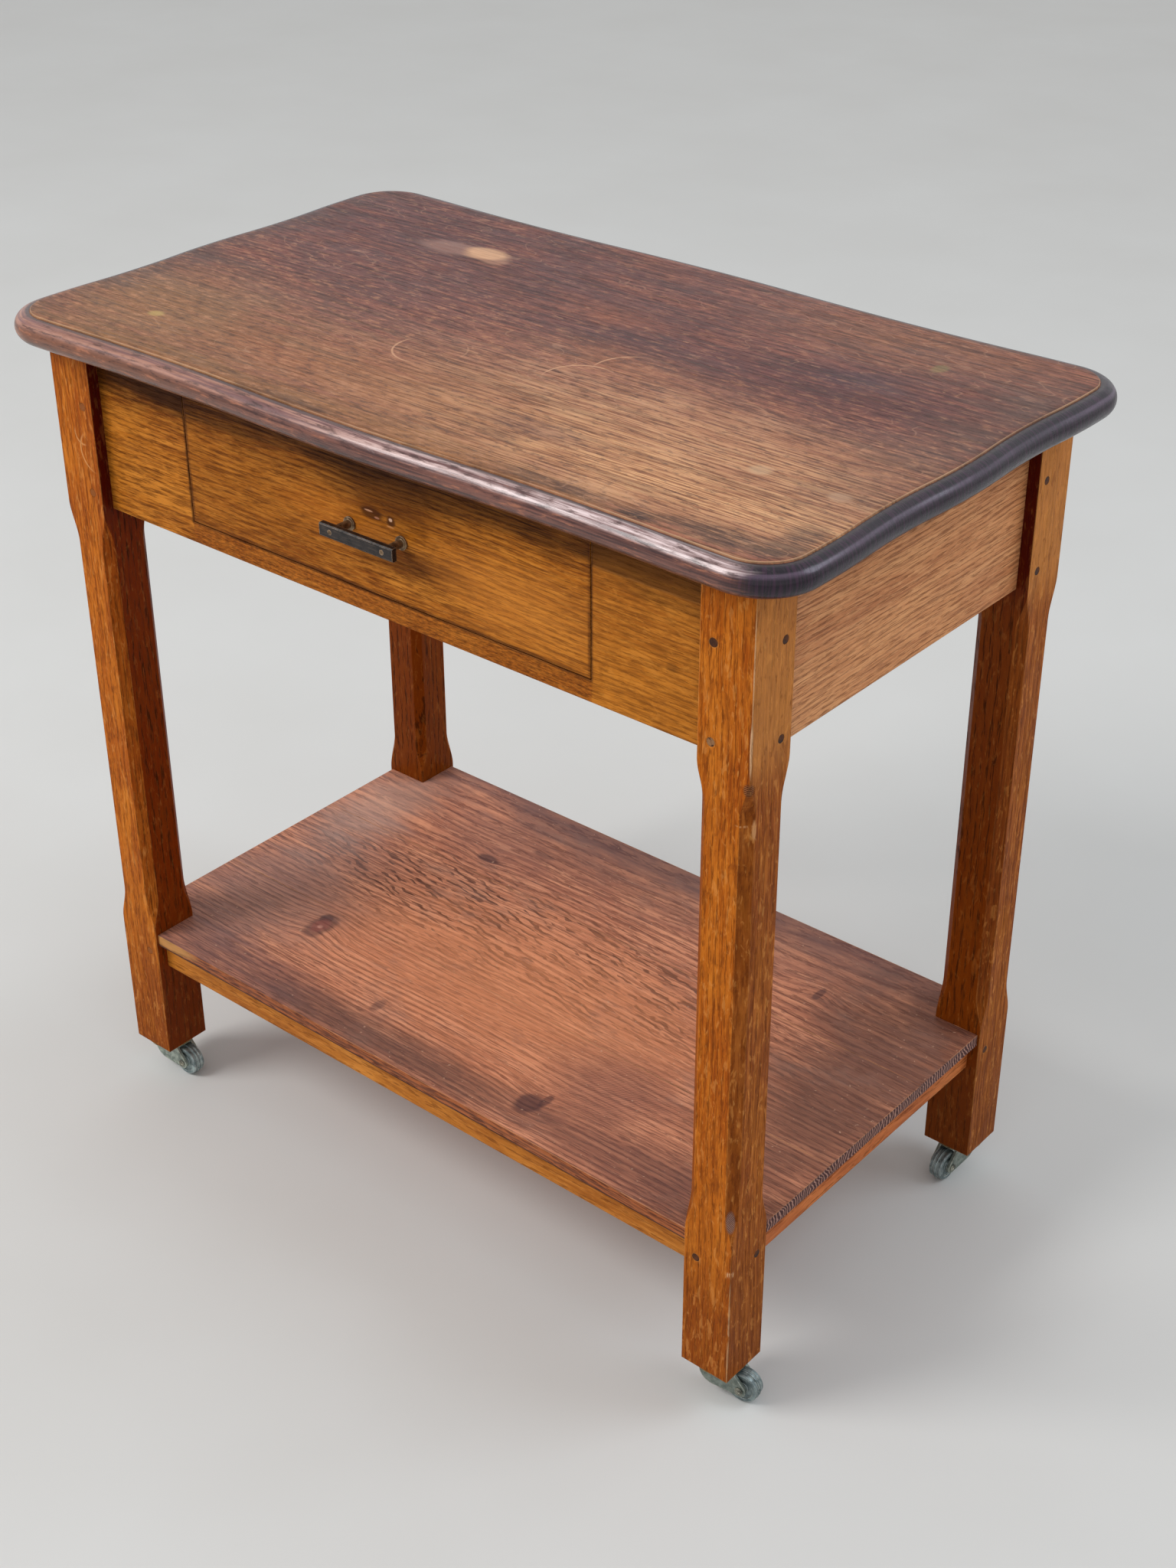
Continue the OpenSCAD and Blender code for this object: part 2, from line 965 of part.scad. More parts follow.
module at_castor(i) {
    // Under the leg, with the horn pointing along +X
    translate([CORNERS[i][0] * castor_x, CORNERS[i][1] * castor_y, castor_h])
        rotate([0, 0, turn[i]])
            children();
}

module plate() {
    difference() {
        translate([0, 0, -plate_t])
            cylinder(d = plate_d, h = plate_t, $fn = round_fn);
        translate([0, 0, -plate_t - over])
            cylinder(d = king_d + 2 * turn_gap, h = plate_t + 2 * over);
        plate_screw_ring()
            translate([0, 0, -plate_t])
                screw(plate_screw_d + 2 * screw_hole_gap, plate_screw_head_d + 2 * screw_hole_gap,
                    plate_screw_head_h, plate_t + over);
    }
}

module at_plate(i) {
    // Square with the leg, whichever way the horn points
    at_castor(i)
        rotate([0, 0, -turn[i]])
            children();
}

module plate_front_left() {
    color(old_brass)
        at_plate(0)
            plate();
}

module plate_front_right() {
    color(old_brass)
        at_plate(1)
            plate();
}

module plate_back_left() {
    color(old_brass)
        at_plate(2)
            plate();
}

module plate_back_right() {
    color(old_brass)
        at_plate(3)
            plate();
}

module plate_screws() {
    color(steel)
        for (i = [0 : 3])
            at_plate(i)
                plate_screw_ring()
                    translate([0, 0, -plate_t])
                        screw(plate_screw_d, plate_screw_head_d, plate_screw_head_h, plate_screw_len);
}

module king_pins() {
    color(steel)
        for (i = [0 : 3])
            at_plate(i) {
                translate([0, 0, -horn_foot - slide_gap - king_head_h / 2])
                    cylinder(d = king_d, h = king_stem + horn_foot + slide_gap + king_head_h / 2);
                translate([0, 0, -horn_foot - slide_gap - king_head_h])
                    cylinder(d = king_head_d, h = king_head_h);
            }
}

horn_foot = horn_top + bell_rim + bell_drop;
cheek_in = wheel_w / 2 + cheek_gap;
bell_steps = 10;

// Point where a line from p touches the circle round c, on the left of the line
function touch(p, c, r) =
    let (l = norm(c - p), a = bearing(p, c) + asin(r / l), d = sqrt(l * l - r * r))
    p + d * [cos(a), sin(a)];

module bell() {
    // Trumpet-shaped head of the horn, round the king pin
    bore_r = king_d / 2 + turn_gap;
    rotate_extrude($fn = round_fn)
        polygon(concat(
            [[bore_r, -horn_foot], [bore_r, -horn_top], [bell_r, -horn_top]],
            [for (i = [0 : bell_steps])
                let (a = 90 * i / bell_steps)
                [bell_r - (bell_r - hub_r) * sin(a), -horn_top - bell_rim - bell_drop * (1 - cos(a))]]
        ));
}

module cheek_profile() {
    // One arm of the fork, seen from its side: a broad round under the bell, drawn out to the axle's boss
    axle = [trail, -axle_drop];
    round_c = [-cheek_back, -cheek_drop];
    front = [cheek_reach, -horn_top - bell_rim / 2];
    // Bearing of the points where the lower edge touches the two rounds
    a = bearing(round_c, axle) - acos((cheek_r - boss_r) / norm(axle - round_c));
    low = [cos(a), sin(a)];
    union() {
        polygon([round_c, [-cheek_back, front[1]], front, touch(front, axle, boss_r), axle,
                 axle + boss_r * low, round_c + cheek_r * low]);
        translate(axle)
            circle(r = boss_r);
        translate(round_c)
            circle(r = cheek_r, $fn = round_fn);
    }
}

module axle_bore(d) {
    translate([trail, cheek_in + cheek_t + over, -axle_drop])
        rotate([90, 0, 0])
            cylinder(d = d, h = 2 * (cheek_in + cheek_t + over));
}

module horn() {
    difference() {
        union() {
            bell();
            both_sides()
                difference() {
                    translate([0, cheek_in + cheek_t, 0])
                        rotate([90, 0, 0])
                            linear_extrude(cheek_t)
                                cheek_profile();
                    translate([0, 0, -horn_foot - over])
                        cylinder(d = king_head_d + 2 * slide_gap, h = horn_foot);
                    // The arms start inside the bell's rim
                    translate([-bell_r, 0, -horn_top - bell_rim / 2])
                        cube([2 * bell_r, bell_r, bell_r]);
                }
        }
        axle_bore(axle_d + 2 * turn_gap);
    }
}

module horn_front_left() {
    color(cast_metal)
        at_castor(0)
            horn();
}

module horn_front_right() {
    color(cast_metal)
        at_castor(1)
            horn();
}

module horn_back_left() {
    color(cast_metal)
        at_castor(2)
            horn();
}

module horn_back_right() {
    color(cast_metal)
        at_castor(3)
            horn();
}

module axle() {
    // Pin through the fork, riveted over at both ends, with a dimple in each head
    difference() {
        union() {
            translate([trail, cheek_in + cheek_t, -axle_drop])
                rotate([90, 0, 0])
                    cylinder(d = axle_d, h = 2 * (cheek_in + cheek_t));
            both_sides()
                translate([trail, cheek_in + cheek_t + axle_head_h, -axle_drop])
                    rotate([90, 0, 0])
                        cylinder(d = axle_head_d, h = axle_head_h);
        }
        both_sides()
            translate([trail, cheek_in + cheek_t + axle_head_h + over, -axle_drop])
                rotate([90, 0, 0])
                    cylinder(d = axle_dimple_d, h = axle_dimple_h + over);
    }
}

module axle_front_left() {
    color(steel)
        at_castor(0)
            axle();
}

module axle_front_right() {
    color(steel)
        at_castor(1)
            axle();
}

module axle_back_left() {
    color(steel)
        at_castor(2)
            axle();
}

module axle_back_right() {
    color(steel)
        at_castor(3)
            axle();
}

module wheel() {
    // Wheel with a hub, a thinner web and a tread with two grooves
    r = wheel_d / 2;
    w = wheel_w / 2;
    bore_r = axle_d / 2 + turn_gap;
    half = concat(
        [[bore_r, w], [r * hub_boss_share, w], [r * hub_boss_share, w * web_share],
         [r * rim_in_share, w * web_share], [r * rim_in_share, w * rim_share]],
        [for (t = tread_share) [r * t[1], w * t[0]]]
    );
    n = len(half);
    translate([trail, 0, -axle_drop])
        rotate([90, 0, 0])
            rotate_extrude($fn = round_fn)
                polygon(concat(half, [for (i = [n - 1 : -1 : 0]) [half[i][0], -half[i][1]]]));
}

module wheel_front_left() {
    color(cast_metal)
        at_castor(0)
            wheel();
}

module wheel_front_right() {
    color(cast_metal)
        at_castor(1)
            wheel();
}

module wheel_back_left() {
    color(cast_metal)
        at_castor(2)
            wheel();
}

module wheel_back_right() {
    color(cast_metal)
        at_castor(3)
            wheel();
}

top_board();
top_buttons();
button_screws();
leg_front_left();
leg_front_right();
leg_back_left();
leg_back_right();
leg_pegs();
apron_front();
apron_back();
apron_left();
apron_right();
runner_left();
runner_right();
guide_left();
guide_right();
kicker_left();
kicker_right();
drawer_stops();
rail_front();
rail_back();
rail_left();
rail_right();
shelf_front();
shelf_middle();
shelf_back();
shelf_screws();
drawer_front();
drawer_side_left();
drawer_side_right();
drawer_back();
drawer_bottom();
pull_bar();
pull_posts();
pull_nuts();
plate_front_left();
plate_front_right();
plate_back_left();
plate_back_right();
plate_screws();
king_pins();
horn_front_left();
horn_front_right();
horn_back_left();
horn_back_right();
axle_front_left();
axle_front_right();
axle_back_left();
axle_back_right();
wheel_front_left();
wheel_front_right();
wheel_back_left();
wheel_back_right();
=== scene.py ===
"""Looks of the serving table: camera, light, the shaped top and the materials of every piece.

Lengths are metres in the row frame: +X along the top, the drawer opens towards -Y, castors on z = 0.
Colours are written as 8-bit sRGB and turned into linear values by srgb().
"""

import math

import bmesh
import bpy
from mathutils import Matrix, Vector


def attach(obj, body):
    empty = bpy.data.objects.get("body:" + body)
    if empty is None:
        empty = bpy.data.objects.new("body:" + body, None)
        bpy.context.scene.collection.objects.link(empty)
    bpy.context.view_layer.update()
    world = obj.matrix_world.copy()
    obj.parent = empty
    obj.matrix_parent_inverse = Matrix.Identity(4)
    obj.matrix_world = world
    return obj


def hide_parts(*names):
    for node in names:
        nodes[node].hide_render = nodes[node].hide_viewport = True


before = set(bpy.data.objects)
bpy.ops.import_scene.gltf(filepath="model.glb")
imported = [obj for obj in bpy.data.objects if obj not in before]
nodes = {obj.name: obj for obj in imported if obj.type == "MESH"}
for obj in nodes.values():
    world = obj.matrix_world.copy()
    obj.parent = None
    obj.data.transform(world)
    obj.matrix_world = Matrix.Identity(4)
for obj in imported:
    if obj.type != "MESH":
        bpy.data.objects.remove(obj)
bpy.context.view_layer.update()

scene = bpy.context.scene

# ---------------------------------------------------------------- camera

EYE = Vector((1.18278, -1.34885, 1.46817))
AZIMUTH, ELEVATION, ROLL = map(math.radians, (40.120, 31.175, -0.187))
FOCAL_PIXELS, IMAGE_HEIGHT, SENSOR = 2983.43, 2048, 36.0


def make_camera():
    flat = math.cos(ELEVATION)
    back = Vector((math.sin(AZIMUTH) * flat, -math.cos(AZIMUTH) * flat, math.sin(ELEVATION)))
    level = (-back).cross(Vector((0, 0, 1))).normalized()
    over = level.cross(-back)
    right = math.cos(ROLL) * level + math.sin(ROLL) * over
    up = math.cos(ROLL) * over - math.sin(ROLL) * level
    data = bpy.data.cameras.new("photo_camera")
    data.sensor_fit = "VERTICAL"
    data.sensor_height = SENSOR
    data.lens = FOCAL_PIXELS / IMAGE_HEIGHT * SENSOR
    data.clip_start, data.clip_end = 0.05, 100
    camera = bpy.data.objects.new("photo_camera", data)
    camera.matrix_world = Matrix.Translation(EYE) @ Matrix((right, up, back)).transposed().to_4x4()
    scene.collection.objects.link(camera)
    scene.camera = camera


make_camera()
scene.view_settings.view_transform = "Standard"

# ---------------------------------------------------------------- shader helpers


def srgb(r, g, b):
    def linear(c):
        c /= 255
        return c / 12.92 if c <= 0.04045 else ((c + 0.055) / 1.055) ** 2.4

    return (linear(r), linear(g), linear(b), 1)


class Graph:
    """A material's node tree, built by calls that return sockets."""

    def __init__(self, name):
        self.material = bpy.data.materials.new(name)
        self.material.use_nodes = True
        self.tree = self.material.node_tree
        self.tree.nodes.clear()

    def node(self, kind, settings=None, **inputs):
        n = self.tree.nodes.new("ShaderNode" + kind)
        for key, value in (settings or {}).items():
            setattr(n, key, value)
        for key, value in inputs.items():
            self.feed(n.inputs[key.replace("_", " ")], value)
        return n

    def feed(self, socket, value):
        if isinstance(value, bpy.types.NodeSocket):
            self.tree.links.new(value, socket)
        elif value is not None:
            socket.default_value = value

    def numbered(self, kind, settings, *values):
        n = self.node(kind, settings)
        for i, value in enumerate(values):
            self.feed(n.inputs[i], value)
        return n.outputs[0]

    def math(self, operation, *values, clamp=False):
        return self.numbered("Math", {"operation": operation, "use_clamp": clamp}, *values)

    def fold(self, operation, values):
        out = values[0]
        for value in values[1:]:
            out = self.math(operation, out, value)
        return out

    def add(self, *values):
        return self.fold("ADD", values)

    def times(self, *values):
        return self.fold("MULTIPLY", values)

    def most(self, *values):
        return self.fold("MAXIMUM", values)

    def off(self, value, gain=1.0):
        """How far a noise is off its middle, times a gain"""
        out = self.math("SUBTRACT", value, 0.5)
        return out if gain == 1.0 else self.times(out, gain)

    def vector(self, operation, *values):
        return self.numbered("VectorMath", {"operation": operation}, *values)

    def length(self, value):
        return self.node("VectorMath", {"operation": "LENGTH"}, Vector=value).outputs["Value"]

    def dot(self, a, b):
        n = self.node("VectorMath", {"operation": "DOT_PRODUCT"}, Vector=a)
        self.feed(n.inputs[1], b)
        return n.outputs["Value"]

    def place(self):
        return self.node("TexCoord").outputs["Object"]

    def split(self, value):
        return self.node("SeparateXYZ", Vector=value).outputs

    def facing(self, axis):
        """The face normal along an axis at rest, in the piece's own frame: 1 along it, -1 against it"""
        normal = self.node("NewGeometry").outputs["Normal"]
        kind = {"vector_type": "NORMAL", "convert_from": "WORLD", "convert_to": "OBJECT"}
        own = self.node("VectorTransform", kind, Vector=normal).outputs[0]
        return self.split(own)["XYZ".index(axis)]

    def join(self, x, y, z):
        return self.numbered("CombineXYZ", None, x, y, z)

    def moved(self, value, by=(0, 0, 0), scale=(1, 1, 1)):
        """(value - by) * scale"""
        return self.vector("MULTIPLY", self.vector("SUBTRACT", value, by), scale)

    def noise(self, value, scale=1.0, detail=3.0, roughness=0.55, distortion=0.0):
        n = self.node(
            "TexNoise", {"noise_dimensions": "3D"}, Vector=value, Scale=scale, Detail=detail, Roughness=roughness,
            Distortion=distortion,
        )
        return n.outputs[0]

    def steps(self, value, low, high, to_low=0.0, to_high=1.0, smooth=True):
        """value from low..high to to_low..to_high, clamped at both ends"""
        settings = {"interpolation_type": "SMOOTHSTEP" if smooth else "LINEAR", "clamp": True}
        n = self.node("MapRange", settings)
        for i, v in enumerate((value, low, high, to_low, to_high)):
            self.feed(n.inputs[i], v)
        return n.outputs[0]

    def mix(self, share, a, b):
        """a where the share is 0 and b where it is 1: sockets, or triples of 8-bit sRGB"""
        n = self.node("Mix", {"data_type": "RGBA", "clamp_factor": True})
        for key, value in (("Factor_Float", share), ("A_Color", a), ("B_Color", b)):
            socket = next(s for s in n.inputs if s.identifier == key)
            self.feed(socket, srgb(*value) if isinstance(value, tuple) else value)
        return next(s for s in n.outputs if s.identifier == "Result_Color")

    def paint(self, colour, tone, *shares):
        """The tone over the colour, by the product of the shares"""
        return self.mix(self.times(*shares), colour, tone)

    def layers(self, colour, *rows):
        """Tones painted one after the other, each by a share where its value lies past low, fully from high on"""
        for tone, share, value, low, high in rows:
            colour = self.paint(colour, tone, self.steps(value, low, high), share)
        return colour

    def spot(self, value, centre, radii, edge=0.35, ragged=None):
        """1 inside an ellipsoid, 0 outside, with a soft edge that noise can make ragged"""
        d = self.length(self.moved(value, centre, [1 / r for r in radii]))
        if ragged is not None:
            d = self.add(d, ragged)
        return self.steps(d, 1 - edge, 1 + edge, 1, 0)

    def arc(self, value, centre, radius, toward, plane=(1, 1, 0), width=0.0012):
        """1 along the part of a thin circle that lies towards one side of its centre"""
        out = self.moved(value, centre, plane)
        beside = self.math("ABSOLUTE", self.math("SUBTRACT", self.length(out), radius))
        side = self.dot(out, [t / radius for t in toward])
        return self.times(self.steps(beside, width * 0.4, width, 1, 0), self.steps(side, 0.3, 0.8))

    def hairs(self, value, scale, width):
        """Fine wavy lines: the level lines of a drawn-out noise"""
        n = self.noise(self.moved(value, scale=scale), detail=1)
        return self.steps(self.math("ABSOLUTE", self.off(n)), 0, width, 1, 0)

    def arris(self, radius):
        """0 on open faces, towards 1 at an edge that is nearer than the radius; and the rounded normal"""
        rounded = self.node("Bevel", {"samples": 6}, Radius=radius).outputs["Normal"]
        face = self.node("NewGeometry").outputs["Normal"]
        return self.math("SUBTRACT", 1, self.dot(rounded, face)), rounded

    def finish(self, colour, roughness, height=None, depth=0.0003, rounded=None, **fixed):
        shader = self.node("BsdfPrincipled")
        self.feed(shader.inputs["Base Color"], colour)
        self.feed(shader.inputs["Roughness"], roughness)
        for key, value in fixed.items():
            self.feed(shader.inputs[key.replace("_", " ")], value)
        normal = rounded
        if height is not None:
            bump = self.node("Bump", Strength=1.0, Distance=depth, Height=height)
            if rounded is not None:
                self.feed(bump.inputs["Normal"], rounded)
            normal = bump.outputs["Normal"]
        if normal is not None:
            self.feed(shader.inputs["Normal"], normal)
        out = self.node("OutputMaterial")
        self.tree.links.new(shader.outputs["BSDF"], out.inputs["Surface"])
        return self.material


# ---------------------------------------------------------------- wood


class Oak:
    """Oak whose growth rings, open pores and ray flecks run along one axis of the row frame."""

    def __init__(self, name, along, seed, pith, ring, sway, knots=(), fold=None):
        """pith: where the heart of the tree lies across the grain. ring: width of a growth ring. sway: how far the
        fibres wander. knots: centre, reach and push of each. fold: x and y of the middle of one of four pieces that
        share their place in the tree"""
        g = self.g = Graph(name)
        p = self.p = g.place()
        x, y, z = g.split(p)
        order = {"X": (0, 1, 2), "Y": (1, 0, 2), "Z": (2, 0, 1)}[along]
        self.q = g.vector("ADD", g.join(*((x, y, z)[i] for i in order)), (seed, 0.37 * seed, 0.71 * seed))
        if fold:
            x = g.math("SUBTRACT", g.math("ABSOLUTE", x), fold[0])
            y = g.math("SUBTRACT", g.math("ABSOLUTE", y), fold[1])
        grain = [(x, y, z)[i] for i in order]
        # The fibres wander a little, and swing round each knot
        bend = self.noise((3.2, 9, 9))
        swell = g.times(g.off(bend), sway * 2)
        for centre, reach, push in knots:
            near = g.length(g.moved(p, centre, [1 / r for r in reach]))
            swell = g.add(swell, g.times(g.math("EXPONENT", g.times(near, near, -1.0)), push))
        across = g.math("SUBTRACT", grain[1], pith[0])
        up = g.math("SUBTRACT", grain[2], pith[1])
        radius = g.length(g.join(across, up, 0.0))
        radius = g.add(radius, swell)
        self.radius = radius
        side = g.math("ARCTAN2", across, up)
        # Growth rings: broad, uneven bands
        wobble = self.noise((6, 40, 40))
        phase = g.add(g.math("DIVIDE", radius, ring), g.times(wobble, 1.6))
        self.band = g.steps(g.math("SINE", g.times(phase, 2 * math.pi)), -1, 1)

        def along_fibre(length, width, turn, start, detail=2.0, roughness=0.55):
            place = g.join(g.times(grain[0], length), g.times(radius, width), g.times(side, turn))
            place = g.vector("ADD", place, (seed * start, seed * 7, seed * 3))
            return g.noise(place, detail=detail, roughness=roughness)

        # Streaks of tone, lines, pores and hair lines, each finer than the one before
        self.long = along_fibre(5, 150, 9, 5)
        self.line = along_fibre(18, 520, 24, 11, 3.0, 0.65)
        self.dash = along_fibre(60, 1150, 60, 13, 2.5, 0.6)
        self.fine = along_fibre(110, 2700, 160, 17)
        # Ray flecks: short pale dashes
        self.fleck = self.noise((120, 620, 620), detail=1.5, roughness=0.5)
        self.cloud = self.noise((4, 16, 16), detail=3)
        self.blotch = self.noise((13, 34, 34), (3.1, 1.7, 2.3), 4, roughness=0.6)

    def noise(self, scale, by=(0, 0, 0), detail=2, **settings):
        """Noise that lies in the wood, drawn out along the fibres"""
        return self.g.noise(self.g.moved(self.q, by, scale), detail=detail, **settings)

    def body(
        self, pale, mid, dark, pore, mottle=0.5, streak=0.18, line=0.32, pore_amount=0.56, pore_share=0.55,
        fleck_share=0.3,
    ):
        """Colour of sound wood"""
        g = self.g
        # Pores are dense in the dark part of each ring
        pores = g.add(self.dash, g.math("SUBTRACT", g.times(self.band, 0.16), 0.08))
        self.dark_line = g.steps(pores, pore_amount, pore_amount + 0.12)
        colour = g.layers(
            g.mix(g.steps(self.cloud, 0.36, 0.62), dark, mid),
            (pale, mottle, self.blotch, 0.48, 0.68),
            (dark, mottle, self.blotch, 0.46, 0.30),
            (pale, streak, self.long, 0.50, 0.64),
            (dark, streak, self.long, 0.48, 0.34),
            (pale, streak * 0.3, self.band, 0.4, 0.9),
            (pale, line, self.line, 0.51, 0.64),
            (pore, line, self.line, 0.47, 0.36),
        )
        colour = g.paint(colour, pore, self.dark_line, pore_share)
        colour = g.paint(colour, pore, g.steps(self.fine, 0.5, 0.66), pore_share * 0.35)
        return g.paint(colour, pale, g.steps(self.fleck, 0.6, 0.7), fleck_share)

    def relief(self, pore=0.6, wave=0.25):
        g = self.g
        return g.add(g.times(self.dark_line, -pore), g.times(self.fine, -0.2), g.times(self.cloud, wave))

    def shine(self, low, high):
        """Roughness, which is higher in the pores"""
        g = self.g
        rough = g.steps(self.blotch, 0.3, 0.75, low, high, smooth=False)
        return g.math("ADD", rough, g.times(self.dark_line, 0.15), clamp=True)


def use(material, *names):
    for name in names:
        for slot in nodes[name].material_slots:
            slot.material = material


CORNERS = ("front_left", "front_right", "back_left", "back_right")

# ---------------------------------------------------------------- the shaped top

TOP_LEN, TOP_DEP, TOP_T = 0.832, 0.487, 0.025
LONG_PITCH, LONG_WAVE = 0.204, 0.0045
SHORT_PITCH, SHORT_WAVE = 0.088, 0.003
CORNER_R, ROLL_W, STEP_H = 0.050, 0.0145, 0.0015
UNDER_TOP = 0.7835
FACE = UNDER_TOP + TOP_T
ARRIS, ROLL_STEPS = 0.0004, 24


def meet(c1, r1, c2, r2):
    """Where two circles meet, on the left of the line from the first centre to the second"""
    d = (c2[0] - c1[0], c2[1] - c1[1])
    length = math.hypot(*d)
    a = (r1 * r1 - r2 * r2 + length * length) / (2 * length)
    h = math.sqrt(r1 * r1 - a * a)
    return (c1[0] + d[0] * a / length - d[1] * h / length, c1[1] + d[1] * a / length + d[0] * h / length)


def quarter_arcs():
    """Centre, radius, first and last angle, 1 for a crest or -1 for a hollow, and the number of steps"""

    def swing(pitch, wave):
        r = (pitch * pitch + wave * wave) / (4 * wave)
        return r, math.asin(pitch / 2 / r)

    long_r, long_a = swing(LONG_PITCH, LONG_WAVE)
    short_r, short_a = swing(SHORT_PITCH, SHORT_WAVE)
    long_c = (2 * LONG_PITCH, TOP_DEP / 2 - long_r)
    short_c = (TOP_LEN / 2 - short_r, 2 * SHORT_PITCH)
    corner = meet(short_c, short_r - CORNER_R, long_c, long_r - CORNER_R)
    up, down = math.pi / 2, -math.pi / 2
    long_end = math.atan2(corner[1] - long_c[1], corner[0] - long_c[0])
    short_end = math.atan2(corner[1] - short_c[1], corner[0] - short_c[0])
    return (
        ((0, TOP_DEP / 2 - long_r), long_r, up, up - long_a, 1, 12),
        ((LONG_PITCH, TOP_DEP / 2 - LONG_WAVE + long_r), long_r, down - long_a, down + long_a, -1, 24),
        (long_c, long_r, up + long_a, long_end, 1, 12),
        (corner, CORNER_R, long_end, short_end, 1, 22),
        (short_c, short_r, short_end, -short_a, 1, 10),
        ((TOP_LEN / 2 - SHORT_WAVE + short_r, SHORT_PITCH), short_r, math.pi - short_a, math.pi + short_a, -1, 18),
        ((TOP_LEN / 2 - short_r, 0), short_r, short_a, 0, 1, 9),
    )


def top_outline(inset):
    quarter = []
    for centre, radius, first, last, side, steps in quarter_arcs():
        for i in range(steps):
            a = first + (last - first) * i / steps
            r = radius - side * inset
            quarter.append((centre[0] + r * math.cos(a), centre[1] + r * math.sin(a)))
    quarter.append((TOP_LEN / 2 - inset, 0))
    n = len(quarter) - 1
    return (
        [quarter[i] for i in range(n, 0, -1)]
        + [(-quarter[i][0], quarter[i][1]) for i in range(n)]
        + [(-quarter[i][0], -quarter[i][1]) for i in range(n, 0, -1)]
        + [(quarter[i][0], -quarter[i][1]) for i in range(n)]
    )


def make_top():
    """The board as rings of points from the middle of its face, over the rounded edge, to its underside.
    Each point keeps its distance in from the outline, along the outline and around the profile."""
    roll_r = (TOP_T - STEP_H) / 2
    profile = [(inset, TOP_T) for inset in (0.040, 0.028, 0.0205)]
    profile += [(ROLL_W + ARRIS, TOP_T), (ROLL_W, TOP_T - ARRIS), (ROLL_W - 0.0001, TOP_T - STEP_H)]
    for i in range(ROLL_STEPS + 1):
        a = math.pi * (0.5 - i / ROLL_STEPS)
        profile.append((roll_r * (1 - math.cos(a)), roll_r * (1 + math.sin(a))))
    profile.append((0.03, 0))
    mesh = bpy.data.meshes.new("shaped_top")
    bm = bmesh.new()
    inward, along, around = (bm.verts.layers.float.new(name) for name in ("inward", "along", "around"))
    outer = top_outline(0)
    run = [0.0]
    for a, b in zip(outer, outer[1:]):
        run.append(run[-1] + math.dist(a, b))
    rings = []
    turned = 0.0
    for k, (inset, height) in enumerate(profile):
        if k:
            turned += math.dist(profile[k - 1], (inset, height))
        ring = []
        for i, (x, y) in enumerate(top_outline(inset)):
            v = bm.verts.new((x, y, UNDER_TOP + height))
            v[inward], v[along], v[around] = inset, run[i], turned
            ring.append(v)
        rings.append(ring)
    n = len(rings[0])
    for above, below in zip(rings, rings[1:]):
        for i in range(n):
            bm.faces.new((above[i], below[i], below[(i + 1) % n], above[(i + 1) % n]))
    bm.faces.new(rings[0])
    bm.faces.new(list(reversed(rings[-1])))
    bmesh.ops.recalc_face_normals(bm, faces=bm.faces)
    for face in bm.faces:
        face.smooth = True
    for ring in (rings[4], rings[5]):  # the head and the foot of the step stay sharp
        for i in range(n):
            bm.edges.get((ring[i], ring[(i + 1) % n])).smooth = False
    bm.to_mesh(mesh)
    bm.free()
    top = bpy.data.objects.new("shaped_top", mesh)
    scene.collection.objects.link(top)
    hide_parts("top_board")
    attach(top, "table")
    return top


shaped_top = make_top()

# ---------------------------------------------------------------- materials of the top


